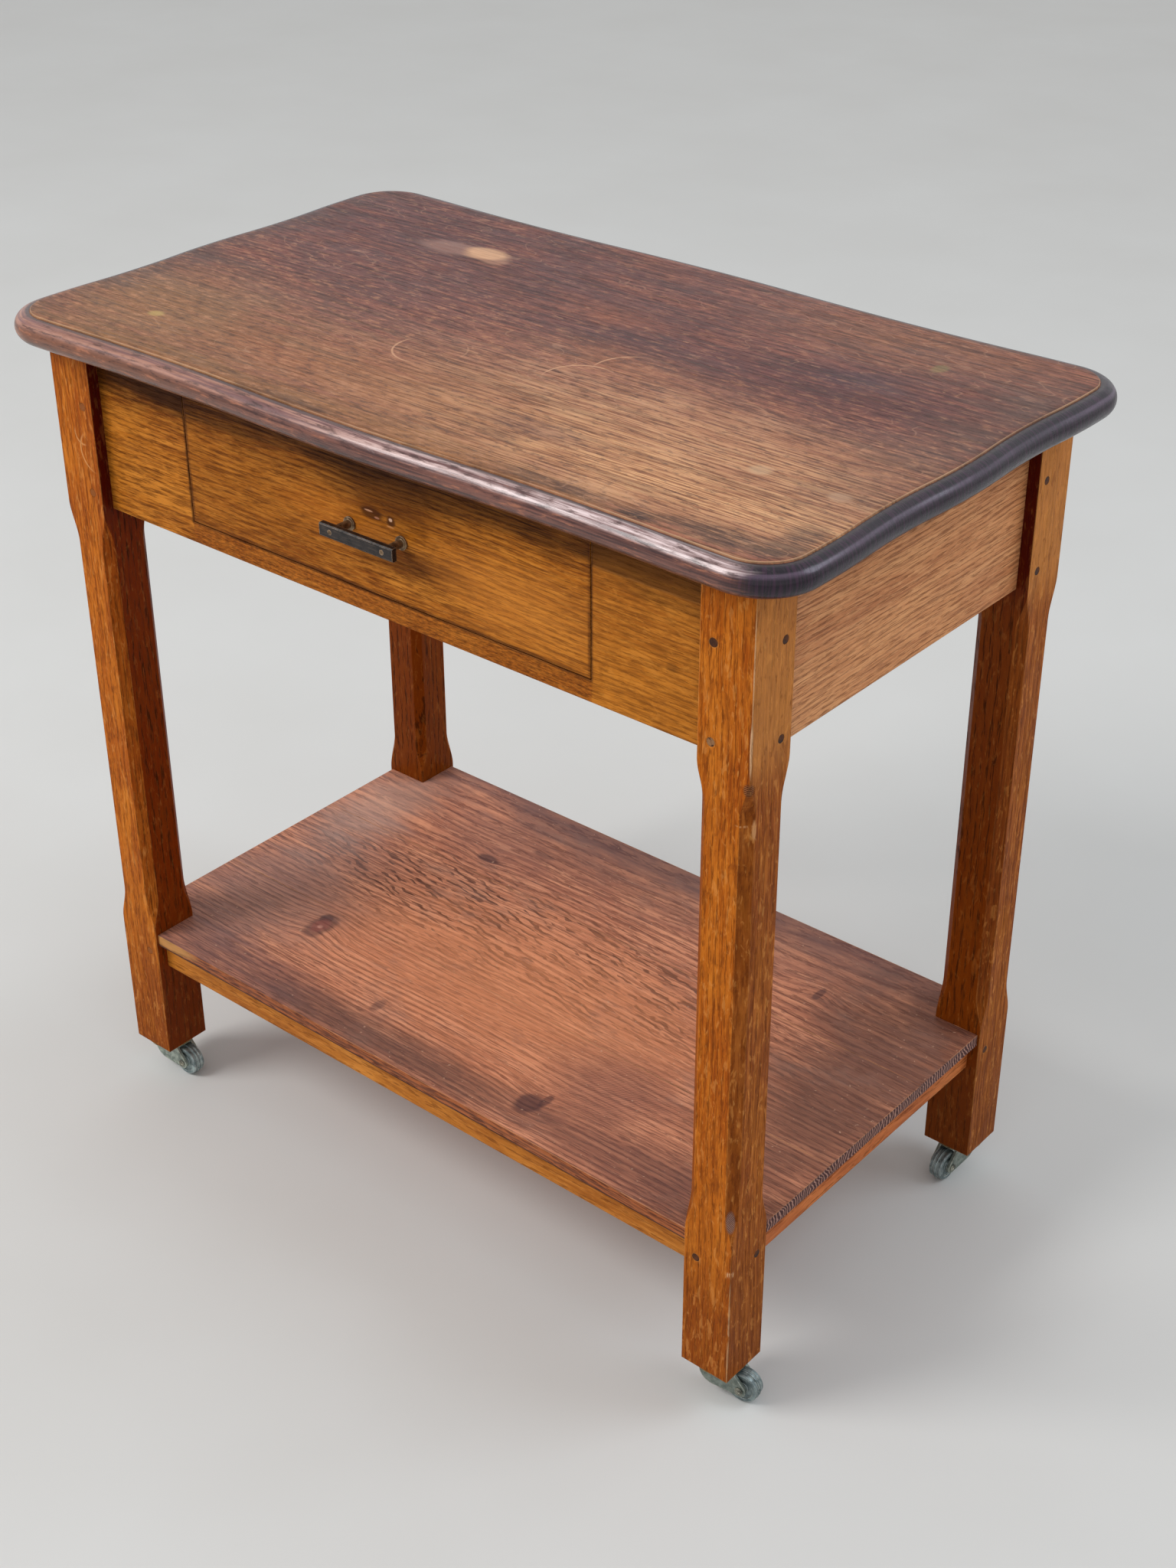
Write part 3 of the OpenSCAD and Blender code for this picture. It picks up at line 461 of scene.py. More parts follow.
def top_wood():
    w = Oak("top_wood", "X", 1.3, pith=(0.50, 0.55), ring=0.0060, sway=0.005)
    g, p = w.g, w.p
    x, y, z = g.split(p)
    colour = w.body(
        (160, 98, 76), (136, 78, 62), (112, 64, 54), (62, 34, 30), mottle=0.5, streak=0.3, line=0.5, pore_amount=0.55,
        pore_share=0.55, fleck_share=0.15,
    )
    ragged = g.off(w.blotch, 1.6)
    worn = g.add(ragged, g.off(w.long, 1.4), g.off(w.line, 1.2))
    pale_line = g.steps(w.line, 0.40, 0.62)

    def place(centre, radii, edge, ragged):
        return g.spot(p, (*centre, FACE), (*radii, 0.03), edge, ragged)

    golden = g.mix(pale_line, (170, 108, 68), (242, 184, 130))
    plum = g.mix(pale_line, (70, 32, 38), (100, 50, 52))
    for tone, share, centre, radii in (
        (golden, 0.75, (0.22, -0.140), (0.22, 0.070)),
        (golden, 0.90, (0.26, -0.165), (0.16, 0.030)),
        (golden, 0.40, (0.20, -0.070), (0.22, 0.060)),
        ((170, 108, 58), 0.55, (-0.08, -0.160), (0.26, 0.055)),
        ((150, 108, 62), 0.60, (-0.32, -0.140), (0.12, 0.090)),
        ((160, 108, 48), 0.50, (-0.05, -0.218), (0.30, 0.014)),
        ((162, 108, 66), 0.50, (0.27, 0.180), (0.12, 0.050)),
        ((184, 110, 72), 0.50, (0.005, 0.082), (0.040, 0.018)),
        ((186, 116, 72), 0.45, (0.079, 0.004), (0.060, 0.022)),
        ((178, 108, 66), 0.45, (0.279, 0.089), (0.022, 0.018)),
        (plum, 0.75, (-0.29, 0.180), (0.20, 0.075)),
        (plum, 0.40, (-0.06, 0.130), (0.36, 0.090)),
        (plum, 0.50, (-0.27, 0.030), (0.17, 0.070)),
        (plum, 0.55, (0.22, 0.060), (0.20, 0.045)),
        (plum, 0.45, (0.34, 0.110), (0.08, 0.090)),
        (plum, 0.45, (0.12, -0.148), (0.045, 0.013)),
        ((74, 50, 60), 0.65, (0.252, 0.098), (0.036, 0.018)),
        ((78, 54, 58), 0.50, (0.050, 0.052), (0.034, 0.014)),
        ((84, 62, 58), 0.60, (-0.398, 0.020), (0.024, 0.200)),
        ((84, 64, 58), 0.60, (0.388, 0.120), (0.022, 0.060)),
        ((118, 84, 66), 0.45, (0.375, 0.010), (0.035, 0.110)),
    ):
        colour = g.paint(colour, tone, place(centre, radii, 1.0, worn), share)
    soot = g.mix(pale_line, (44, 34, 30), (82, 60, 48))
    for share, centre, radii in (
        (0.85, (0.275, -0.219), (0.020, 0.007)),
        (0.60, (0.340, -0.210), (0.044, 0.011)),
        (0.60, (0.385, -0.190), (0.013, 0.034)),
        (0.45, (0.200, -0.214), (0.050, 0.007)),
        (0.30, (0.100, -0.172), (0.025, 0.010)),
        (0.35, (-0.060, -0.222), (0.060, 0.006)),
    ):
        colour = g.paint(colour, soot, place(centre, radii, 0.6, worn), share)
    grit = w.noise((80, 230, 230), (0.2, 0.9, 0.5), 3, roughness=0.7)
    colour = g.layers(
        colour,
        ((198, 138, 98), g.steps(y, -0.02, 0.08, 0.48, 0.26), grit, 0.52, 0.66),
        ((62, 34, 28), 0.50, grit, 0.48, 0.34),
        ((66, 36, 26), 0.42, w.line, 0.48, 0.36),
        ((66, 36, 28), 0.30, w.long, 0.47, 0.38),
    )
    # Spots where the finish has gone, rings left by glasses, and scratches
    fray = g.times(ragged, 0.5)
    stain = place((-0.187, 0.135), (0.021, 0.015), 0.3, fray)
    for tone, share, centre, radii in (
        ((150, 108, 94), 0.75, (-0.224, 0.128), (0.030, 0.014)),
        ((176, 130, 104), 0.60, (-0.168, 0.126), (0.014, 0.011)),
        ((186, 154, 88), 0.75, (-0.297, -0.159), (0.0075, 0.0055)),
        ((206, 166, 128), 0.60, (0.294, -0.101), (0.0095, 0.0080)),
        ((190, 150, 120), 0.45, (0.366, -0.104), (0.0080, 0.0075)),
        ((132, 124, 76), 0.45, (0.285, 0.153), (0.0060, 0.0085)),
    ):
        colour = g.paint(colour, tone, place(centre, radii, 0.4, fray), share)
    colour = g.paint(colour, (222, 172, 134), stain, g.steps(w.line, 0.30, 0.55, 0.55, 0.9))
    rings = 0.0
    for centre, radius, toward, share in (
        ((0.100, -0.008), 0.033, (-0.7, 0.7, 0), 0.8),
        ((0.078, -0.048), 0.031, (-0.7, 0.7, 0), 0.8),
        ((-0.058, -0.074), 0.031, (-0.7, -0.7, 0), 0.7),
        ((-0.058, -0.074), 0.031, (0.5, 0.8, 0), 0.3),
        ((0.215, -0.040), 0.036, (0.3, 0.9, 0), 0.3),
    ):
        rings = g.most(rings, g.times(g.arc(p, (*centre, FACE), radius, toward), share))
    colour = g.paint(colour, (214, 160, 122), rings, g.steps(w.blotch, 0.34, 0.50))
    hairs = g.times(g.hairs(w.q, (22, 48, 48), 0.014), g.steps(w.cloud, 0.50, 0.60))
    colour = g.paint(colour, (196, 146, 114), hairs, 0.30)
    nick = w.noise((60, 230, 230), (0.4, 0.2, 0.1))
    colour = g.layers(colour, ((200, 148, 112), 0.35, nick, 0.68, 0.74), ((58, 38, 38), 0.45, nick, 0.32, 0.27))
    # The rounded edge, in its own coordinates: scuffed and plum-brown along the front, nearly black at the ends
    measures = ("inward", "along", "around")
    inward, along, around = (g.node("Attribute", {"attribute_name": name}).outputs["Fac"] for name in measures)
    roll = g.steps(inward, ROLL_W - 0.0012, ROLL_W - 0.0004, 1, 0)

    def on_roll(length, width, start, detail=3.0, roughness=0.6):
        place = g.join(g.times(along, length), g.times(around, width), start)
        return g.noise(place, detail=detail, roughness=roughness)

    scuff = on_roll(48, 260, 3.0, 4)
    streaks = on_roll(8, 330, 7.0)
    broad = on_roll(7, 60, 11.0)
    ribs = on_roll(430, 22, 17.0, 2)
    # A painted highlight along the shoulder of the roll, broken up by scuffs, strongest near the right corner
    reach = g.most(g.steps(broad, 0.30, 0.60, 0.4, 1.0), g.steps(x, 0.12, 0.26, 0, 0.9))
    shoulder = g.times(g.steps(z, FACE - 0.0090, FACE - 0.0058), reach, g.steps(scuff, 0.38, 0.56, 0.45, 1.0))
    front = g.layers(
        g.mix(g.steps(streaks, 0.40, 0.60), (72, 42, 40), (126, 80, 68)),
        ((132, 84, 60), 0.7, x, 0.00, -0.30),
        ((184, 116, 84), 0.6, scuff, 0.54, 0.66),
    )
    # The pale tone of the painted highlight, whiter towards the right corner
    pale_patch = g.mix(g.steps(x, -0.10, 0.22), (176, 124, 104), (250, 226, 224))
    front = g.mix(shoulder, front, g.mix(g.steps(streaks, 0.38, 0.60), (124, 84, 82), pale_patch))
    front = g.layers(front, ((62, 38, 38), 0.6, scuff, 0.46, 0.36))
    # Painted shade on the underside of the roll, broken by scuffs
    below = g.steps(z, FACE - 0.0150, FACE - 0.0215)
    front = g.paint(front, (52, 28, 26), below, g.steps(scuff, 0.60, 0.46), 0.6)
    ends = g.layers(
        (18, 5, 22),
        ((58, 26, 52), 0.7, ribs, 0.46, 0.60),
        ((64, 50, 58), 0.35, broad, 0.54, 0.68),
        ((116, 84, 74), 0.35, scuff, 0.66, 0.74),
    )
    # A painted highlight along the crest of the roll at the ends
    crest = g.times(g.steps(z, FACE - 0.0085, FACE - 0.0055), g.steps(z, FACE - 0.0038, FACE - 0.0050))
    crest = g.times(crest, g.steps(broad, 0.35, 0.60, 0.15, 0.45))
    ends = g.mix(crest, ends, (122, 100, 122))
    at_end = g.steps(g.add(x, g.off(broad, 0.06)), 0.365, 0.395)
    at_left = g.times(g.steps(x, -0.385, -0.405), g.steps(y, -0.16, -0.10))
    at_back = g.steps(y, 0.17, 0.21)
    edge = g.mix(g.most(at_end, at_left, at_back), front, ends)
    # The flat of the edge beside the step is dark
    upper = g.steps(z, FACE - 0.0040, FACE - 0.0030)
    flat = g.steps(g.add(inward, g.off(scuff, 0.004)), ROLL_W - 0.0060, ROLL_W - 0.0030)
    colour = g.mix(roll, colour, g.paint(edge, (50, 38, 40), flat, upper, 0.75))
    # Pale worn arris of the step
    head = ROLL_W + ARRIS
    arris = g.times(g.steps(inward, ROLL_W - 0.0002, ROLL_W), g.steps(inward, head, head + 0.0005, 1, 0), upper)
    colour = g.paint(colour, (204, 160, 122), arris, g.steps(broad, 0.30, 0.60, 0.2, 0.75))
    under = g.steps(z, UNDER_TOP + 0.0001, UNDER_TOP + 0.0011, 1, 0)
    colour = g.mix(under, colour, g.mix(w.dark_line, (138, 100, 66), (92, 62, 38)))
    height = g.add(w.relief(0.4, 0.2), g.times(g.add(scuff, ribs), 0.4, roll))
    rough = g.add(w.shine(0.40, 0.55), g.times(stain, 0.15))
    rough = g.mix(roll, rough, g.steps(scuff, 0.35, 0.65, 0.26, 0.42, smooth=False))
    gloss = {"Coat_Weight": g.add(g.times(roll, 0.3), 0.05), "Coat_Roughness": 0.15, "Specular_IOR_Level": 0.28}
    return g.finish(colour, rough, height, 0.0003, **gloss)


shaped_top.data.materials.append(top_wood())

# ---------------------------------------------------------------- materials of the frame

# Where faces of the solids lie: the legs' outer faces and middles, the apron's and the drawer's front, half the width
# and the lower edge of the drawer's opening, and the shelf's face and front edge
LEG_X, LEG_Y, LEG_MIDDLE = 0.377, 0.214, (0.353, 0.190)
FRONT_Y, OPEN_X, OPEN_Z = -0.203, 0.221, 0.653
SHELF_Z, SHELF_EDGE = 0.1805, -0.2115
# Fine marks of tools, in radians per metre
CHISEL, SAW, END_SAW = 3900, 2400, 1700


def worn_wood(w, colour, tone, radius, share, shine, specular, height=None, depth=0.0003):
    """Pale wear along the arrises, broken up by the grain, then gloss and relief"""
    g = w.g
    edge, rounded = g.arris(radius)
    colour = g.paint(colour, tone, g.steps(edge, 0.02, 0.16), g.steps(w.blotch, 0.36, 0.62), share)
    height = w.relief() if height is None else height
    return g.finish(colour, w.shine(*shine), height, depth, rounded, Specular_IOR_Level=specular)


def leg_wood():
    w = Oak("leg_wood", "Z", 4.1, pith=(0.14, 0.14), ring=0.0048, sway=0.005, fold=LEG_MIDDLE)
    g, p = w.g, w.p
    x, y, z = g.split(p)
    colour = w.body(
        (214, 126, 38), (188, 98, 18), (164, 78, 12), (100, 42, 4), mottle=0.55, streak=0.25, line=0.42,
        pore_amount=0.55, pore_share=0.6, fleck_share=0.5,
    )
    outward = g.times(g.facing("X"), g.math("SIGN", x))
    # The faces at the ends and the chamfers are browner, with fine pale lines; the browner tone is partly painted
    # shade for how the light falls on these sides
    end = g.steps(outward, 0.45, 0.65)
    chamfer_shade = g.times(end, g.steps(outward, 0.92, 0.80))
    lined = g.mix(g.steps(w.line, 0.46, 0.62), (108, 52, 14), (162, 92, 40))
    colour = g.paint(colour, lined, end, 0.6)
    colour = g.paint(colour, (220, 148, 78), end, g.steps(z, 0.60, 0.66), 0.45)
    # Painted shade on the chamfers
    colour = g.paint(colour, (110, 52, 14), chamfer_shade, 0.14)
    # The faces that look in under the table are darker and redder: dark stain, and painted shade for the little light
    # that reaches them
    beside = g.times(g.facing("Y"), g.math("SIGN", y))
    inward = g.most(g.times(outward, -1.0), g.times(beside, -1.0), g.times(g.add(outward, beside), -0.62))
    inner = g.steps(inward, 0.5, 0.9)
    redder = g.mix(g.steps(y, -0.01, 0.01), (112, 34, 0), (108, 44, 2))
    colour = g.paint(colour, g.mix(w.dark_line, redder, (60, 20, 0)), inner, 0.88)
    # Darker towards the foot, and near black in the corner beside the aprons: dark stain with painted shade
    low = g.steps(g.add(z, g.off(w.blotch, 0.12)), 0.05, 0.26, 1, 0)
    colour = g.paint(colour, (108, 52, 14), low, 0.42)
    colour = g.paint(colour, (72, 8, 3), inner, g.steps(z, 0.60, 0.66), 0.92)
    fray = g.off(w.blotch, 0.9)

    def mark(height, wide, tall, edge, inset=(0, 0), ragged=fray):
        """A place on the outer corner of the front right leg"""
        centre = (LEG_X - inset[0], inset[1] - LEG_Y, height)
        return g.spot(p, centre, (wide, wide, tall), edge, ragged)

    # A split along the corner of the front right leg, chipped at its lower end, and marks below it
    split = mark(0.656, 0.0014, 0.023, 0.25)
    thin = mark(0.720, 0.0007, 0.055, 0.3)
    chip = mark(0.6215, 0.0040, 0.0050, 0.3, (0.0018, 0.0018))
    shave = mark(0.585, 0.0018, 0.0080, 0.4, (0, 0.0078))
    cut = mark(0.589, 0.0070, 0.0009, 0.4, (0.0050, 0.0035), None)
    torn = g.steps(g.math("SINE", g.times(z, CHISEL)), -0.5, 0.6)
    colour = g.paint(colour, (226, 164, 110), g.most(shave, g.times(cut, 0.7)), g.steps(w.dash, 0.40, 0.50), 0.75)
    colour = g.paint(colour, (238, 190, 146), g.most(split, thin), 0.9)
    colour = g.paint(colour, g.mix(torn, (50, 24, 12), (158, 100, 62)), chip, 0.9)
    # Rough tooling in the stop near the foot of the same corner
    hatch = g.most(*(g.math("SINE", g.times(g.add(z, g.times(x, lean)), CHISEL)) for lean in (1.3, -1.3)))
    stop = (0.0042, 0.0025)
    rough_stop = g.times(mark(0.212, 0.0036, 0.011, 0.25, stop), g.steps(hatch, 0.2, 0.95))
    colour = g.paint(colour, (84, 42, 36), mark(0.212, 0.0040, 0.012, 0.3, stop), 0.6)
    colour = g.paint(colour, (204, 170, 156), rough_stop, 0.6)
    for worn in (mark(0.158, 0.0040, 0.0032, 0.4, (0.0005, 0.0004)), mark(0.090, 0.0010, 0.056, 0.4)):
        colour = g.paint(colour, (222, 178, 134), worn, g.steps(w.dash, 0.42, 0.52), 0.75)
    # Two curved scratches on the front of the front left leg
    upright = (1, 0, 1)
    marks = g.most(
        g.arc(p, (-0.3455, -LEG_Y, 0.704), 0.010, (-0.7, 0, -0.7), upright),
        g.arc(p, (-0.3300, -LEG_Y, 0.690), 0.020, (-0.9, 0, -0.3), upright),
    )
    colour = g.paint(colour, (222, 160, 100), marks, g.spot(p, (-0.35, -LEG_Y, 0.695), (0.03, 0.002, 0.03)), 0.6)
    # Curled and nicked grain, which the inner faces hide
    curl = w.noise((60, 190, 190), (0.9, 0.3, 0.4), 3, roughness=0.65, distortion=0.6)
    nick = w.noise((70, 320, 320), (0.3, 0.6, 0.1))
    colour = g.layers(
        colour,
        ((222, 146, 72), g.steps(inner, 0, 1, 0.40, 0.10), curl, 0.56, 0.66),
        ((104, 46, 8), 0.40, curl, 0.44, 0.34),
        ((222, 156, 84), g.steps(inner, 0, 1, 0.4, 0.12), nick, 0.65, 0.74),
        ((92, 40, 8), 0.5, nick, 0.34, 0.27),
    )
    height = g.add(w.relief(), g.times(g.add(split, chip, rough_stop), -1.5))
    return worn_wood(w, colour, (216, 146, 78), 0.0018, 0.65, (0.38, 0.55), 0.06, height, 0.00035)


def apron_wood(name, along, seed, tones, pith, curled=1.0):
    """Oak with curled figure and short dark ticks, by a share"""
    w = Oak(name, along, seed, pith, ring=0.0050, sway=0.008)
    g = w.g
    colour = w.body(*tones, mottle=0.55, streak=0.3, line=0.5, pore_amount=0.54, pore_share=0.7, fleck_share=0.3)
    curl = w.noise((26, 130, 130), (0.7, 0.3, 0.8), 4, roughness=0.7)
    ticks = w.noise((34, 400, 400), (0.4, 0.5, 0.3), 3, roughness=0.7)
    return w, g.layers(
        colour,
        (tones[0], 0.35 * curled, curl, 0.52, 0.66),
        (tones[3], 0.45 * curled, curl, 0.47, 0.34),
        (tones[0], 0.5 * curled, ticks, 0.53, 0.64),
        (tones[3], 0.55 * curled, ticks, 0.48, 0.36),
    )


# Pale, middle, dark and pore tone of each wood
AMBER = ((228, 150, 66), (198, 122, 40), (168, 94, 26), (104, 50, 10))
GOLDEN = ((214, 136, 50), (184, 108, 28), (156, 84, 18), (96, 46, 8))
RUSSET = ((222, 134, 74), (192, 104, 50), (160, 80, 34), (104, 48, 18))
TAWNY = ((234, 170, 116), (216, 146, 94), (192, 122, 76), (132, 78, 46))


def shade_and_grime_under_top(w, colour, share, tone=(46, 16, 2)):
    """Painted shadow of the top, and grime, that darken the wood towards the underside of the top"""
    g = w.g
    height = g.add(g.split(w.p)["Z"], g.times(g.add(g.off(w.blotch), g.off(w.long)), 0.035))
    colour = g.paint(colour, tone, g.steps(height, 0.724, 0.766), share, 0.5)
    return g.paint(colour, tone, g.steps(height, 0.737, 0.764), share)


def front_wood():
    w, colour = apron_wood("front_wood", "X", 7.7, GOLDEN, (-0.150, 0.500))
    g, p = w.g, w.p
    x, _, z = g.split(p)
    across = g.math("ABSOLUTE", x)
    # Below the drawer the strip is coarse and dark, and the right panel has a plain strip along its top
    strip = g.times(g.steps(across, OPEN_X + 0.0005, OPEN_X - 0.0005), g.steps(z, OPEN_Z + 0.0015, OPEN_Z))
    coarse = w.noise((170, 760, 760), detail=3, roughness=0.65)
    colour = g.paint(colour, g.mix(g.steps(coarse, 0.42, 0.60), (104, 50, 14), (178, 98, 30)), strip, 0.6)
    swirl = w.noise((30, 95, 60), (0.1, 0.6, 0.4), 4, roughness=0.65, distortion=1.6)
    right = g.steps(x, OPEN_X, OPEN_X + 0.002)
    colour = g.paint(colour, (126, 66, 16), right, g.steps(swirl, 0.50, 0.62), 0.35)
    colour = g.paint(colour, (208, 134, 54), right, g.steps(swirl, 0.44, 0.36), 0.35)
    seam_z = 0.7484
    cap = g.mix(g.steps(w.long, 0.45, 0.6), (132, 82, 30), (116, 68, 24))
    colour = g.paint(colour, cap, right, g.steps(z, seam_z, seam_z + 0.0004), 0.7)
    seam = g.spot(p, (0.28, FRONT_Y, seam_z), (0.2, 0.01, 0.0008), 0.4)
    colour = g.paint(colour, (190, 124, 62), right, seam, 0.6)
    small_knot = g.spot(p, (0.296, FRONT_Y, 0.690), (0.005, 0.01, 0.004), 0.5, g.off(w.blotch))
    colour = g.paint(colour, (74, 38, 14), small_knot, 0.6)
    # Darker beside the legs, and a painted shadow of the gap along the edges of the opening
    colour = g.paint(colour, (84, 44, 14), g.steps(across, 0.310, 0.330), g.steps(w.blotch, 0.3, 0.7), 0.35)
    opening_gap_shadow = g.times(g.steps(across, OPEN_X + 0.0025, OPEN_X + 0.0002), g.steps(z, OPEN_Z - 0.0020, OPEN_Z))
    colour = g.paint(colour, (44, 16, 4), opening_gap_shadow, 0.75)
    colour = g.paint(colour, (206, 128, 44), right, 0.25)
    # Painted shadow and grime under the top, weaker on the right panel
    colour = shade_and_grime_under_top(w, colour, g.steps(x, 0.18, 0.25, 0.85, 0.5))
    return worn_wood(w, colour, (196, 124, 60), 0.0015, 0.6, (0.40, 0.58), 0.06, w.relief(0.8), 0.00035)


def drawer_wood():
    w, colour = apron_wood("drawer_wood", "X", 12.9, GOLDEN, (-0.120, 0.450))
    g, p = w.g, w.p
    x, _, z = g.split(p)
    lines = w.noise((9, 420, 420), (0.2, 0.1, 0.3), 2.5, roughness=0.6)
    side = g.steps(x, -0.02, 0.12)
    colour = g.paint(colour, (90, 44, 10), g.steps(lines, 0.58, 0.64), g.add(g.times(side, 0.35), 0.15))
    wander = g.add(g.off(w.blotch), g.off(w.long))
    # The dark patches are stains round the pull, with painted shadow below the pull and under the top
    # Centre and radii along x and z
    for (across, up), (wide, tall), share, tone in (
        ((0.010, 0.750), (0.055, 0.028), 0.55, (56, 24, 4)),
        ((0.050, 0.735), (0.060, 0.010), 0.30, (80, 36, 8)),
        ((0.040, 0.694), (0.055, 0.011), 0.60, (72, 30, 6)),
        ((-0.130, 0.700), (0.110, 0.060), 0.25, (112, 60, 10)),
        ((-0.040, 0.712), (0.050, 0.014), 0.35, (212, 122, 34)),
        ((0.150, 0.690), (0.070, 0.030), 0.40, (218, 136, 56)),
    ):
        colour = g.paint(colour, tone, g.spot(p, (across, FRONT_Y, up), (wide, 0.02, tall), 0.8, wander), share)
    # Filled holes of an earlier pull
    for (across, up), (wide, tall), tone in (
        ((-0.004, 0.7240), (0.0110, 0.0050), (58, 24, 12)),
        ((0.0175, 0.7225), (0.0045, 0.0040), (64, 30, 16)),
        ((-0.007, 0.7255), (0.0040, 0.0007), (212, 156, 120)),
        ((0.002, 0.7215), (0.0025, 0.0009), (190, 128, 96)),
        ((0.0170, 0.7240), (0.0018, 0.0014), (232, 188, 158)),
        ((0.0165, 0.7180), (0.0040, 0.0007), (206, 140, 84)),
    ):
        hole = g.spot(p, (across, FRONT_Y, up), (wide, 0.01, tall), 0.35, g.off(w.blotch, 0.8))
        colour = g.paint(colour, tone, hole, 0.8)
    outside = g.steps(g.times(g.facing("Y"), -1.0), 0.5, 0.8)
    # Painted shadow and grime under the top, on the outer face
    colour = shade_and_grime_under_top(w, colour, g.times(outside, g.steps(w.line, 0.35, 0.60, 0.88, 0.62)))
    # Darker round the edges of the front: handling, and a painted shadow of the gap round the drawer
    rim_wear_and_shadow = g.times(outside, g.most(g.steps(g.math("ABSOLUTE", x), 0.216, 0.2195), g.steps(z, 0.6580, 0.6546)))
    colour = g.paint(colour, (72, 32, 8), rim_wear_and_shadow, g.steps(w.blotch, 0.35, 0.60, 0.4, 0.8))
    height = g.add(w.relief(0.8), g.times(g.steps(lines, 0.55, 0.62), -0.5))
    return worn_wood(w, colour, (186, 118, 58), 0.0012, 0.5, (0.38, 0.56), 0.06, height, 0.00035)


def side_wood(name, seed, along, tones, pith):
    w, colour = apron_wood(name, along, seed, tones, pith, 0.35)
    # Painted shadow and grime under the top
    colour = shade_and_grime_under_top(w, colour, 0.5, (104, 62, 36))
    return worn_wood(w, colour, (206, 150, 96), 0.0015, 0.5, (0.42, 0.6), 0.15, w.relief(0.8))


def rail_wood(name, seed, along, tones):
    w = Oak(name, along, seed, pith=(0.04, 0.26), ring=0.0045, sway=0.005)
    return worn_wood(w, w.body(*tones), (220, 150, 84), 0.0018, 0.6, (0.42, 0.6), 0.12)


# Where the fibres swing aside: x, y, the reach in both and the push
SHELF_SWINGS = (
    (-0.217, -0.099, 0.030, 0.030, 0.007),
    (-0.172, 0.098, 0.025, 0.015, -0.004),
    (0.226, 0.125, 0.025, 0.015, 0.004),
    (0.122, -0.170, 0.035, 0.025, -0.006),
    (-0.02, 0.03, 0.140, 0.080, 0.008),
)
LINE_PITCH, CRACK_PITCH = 0.0050, 0.0074


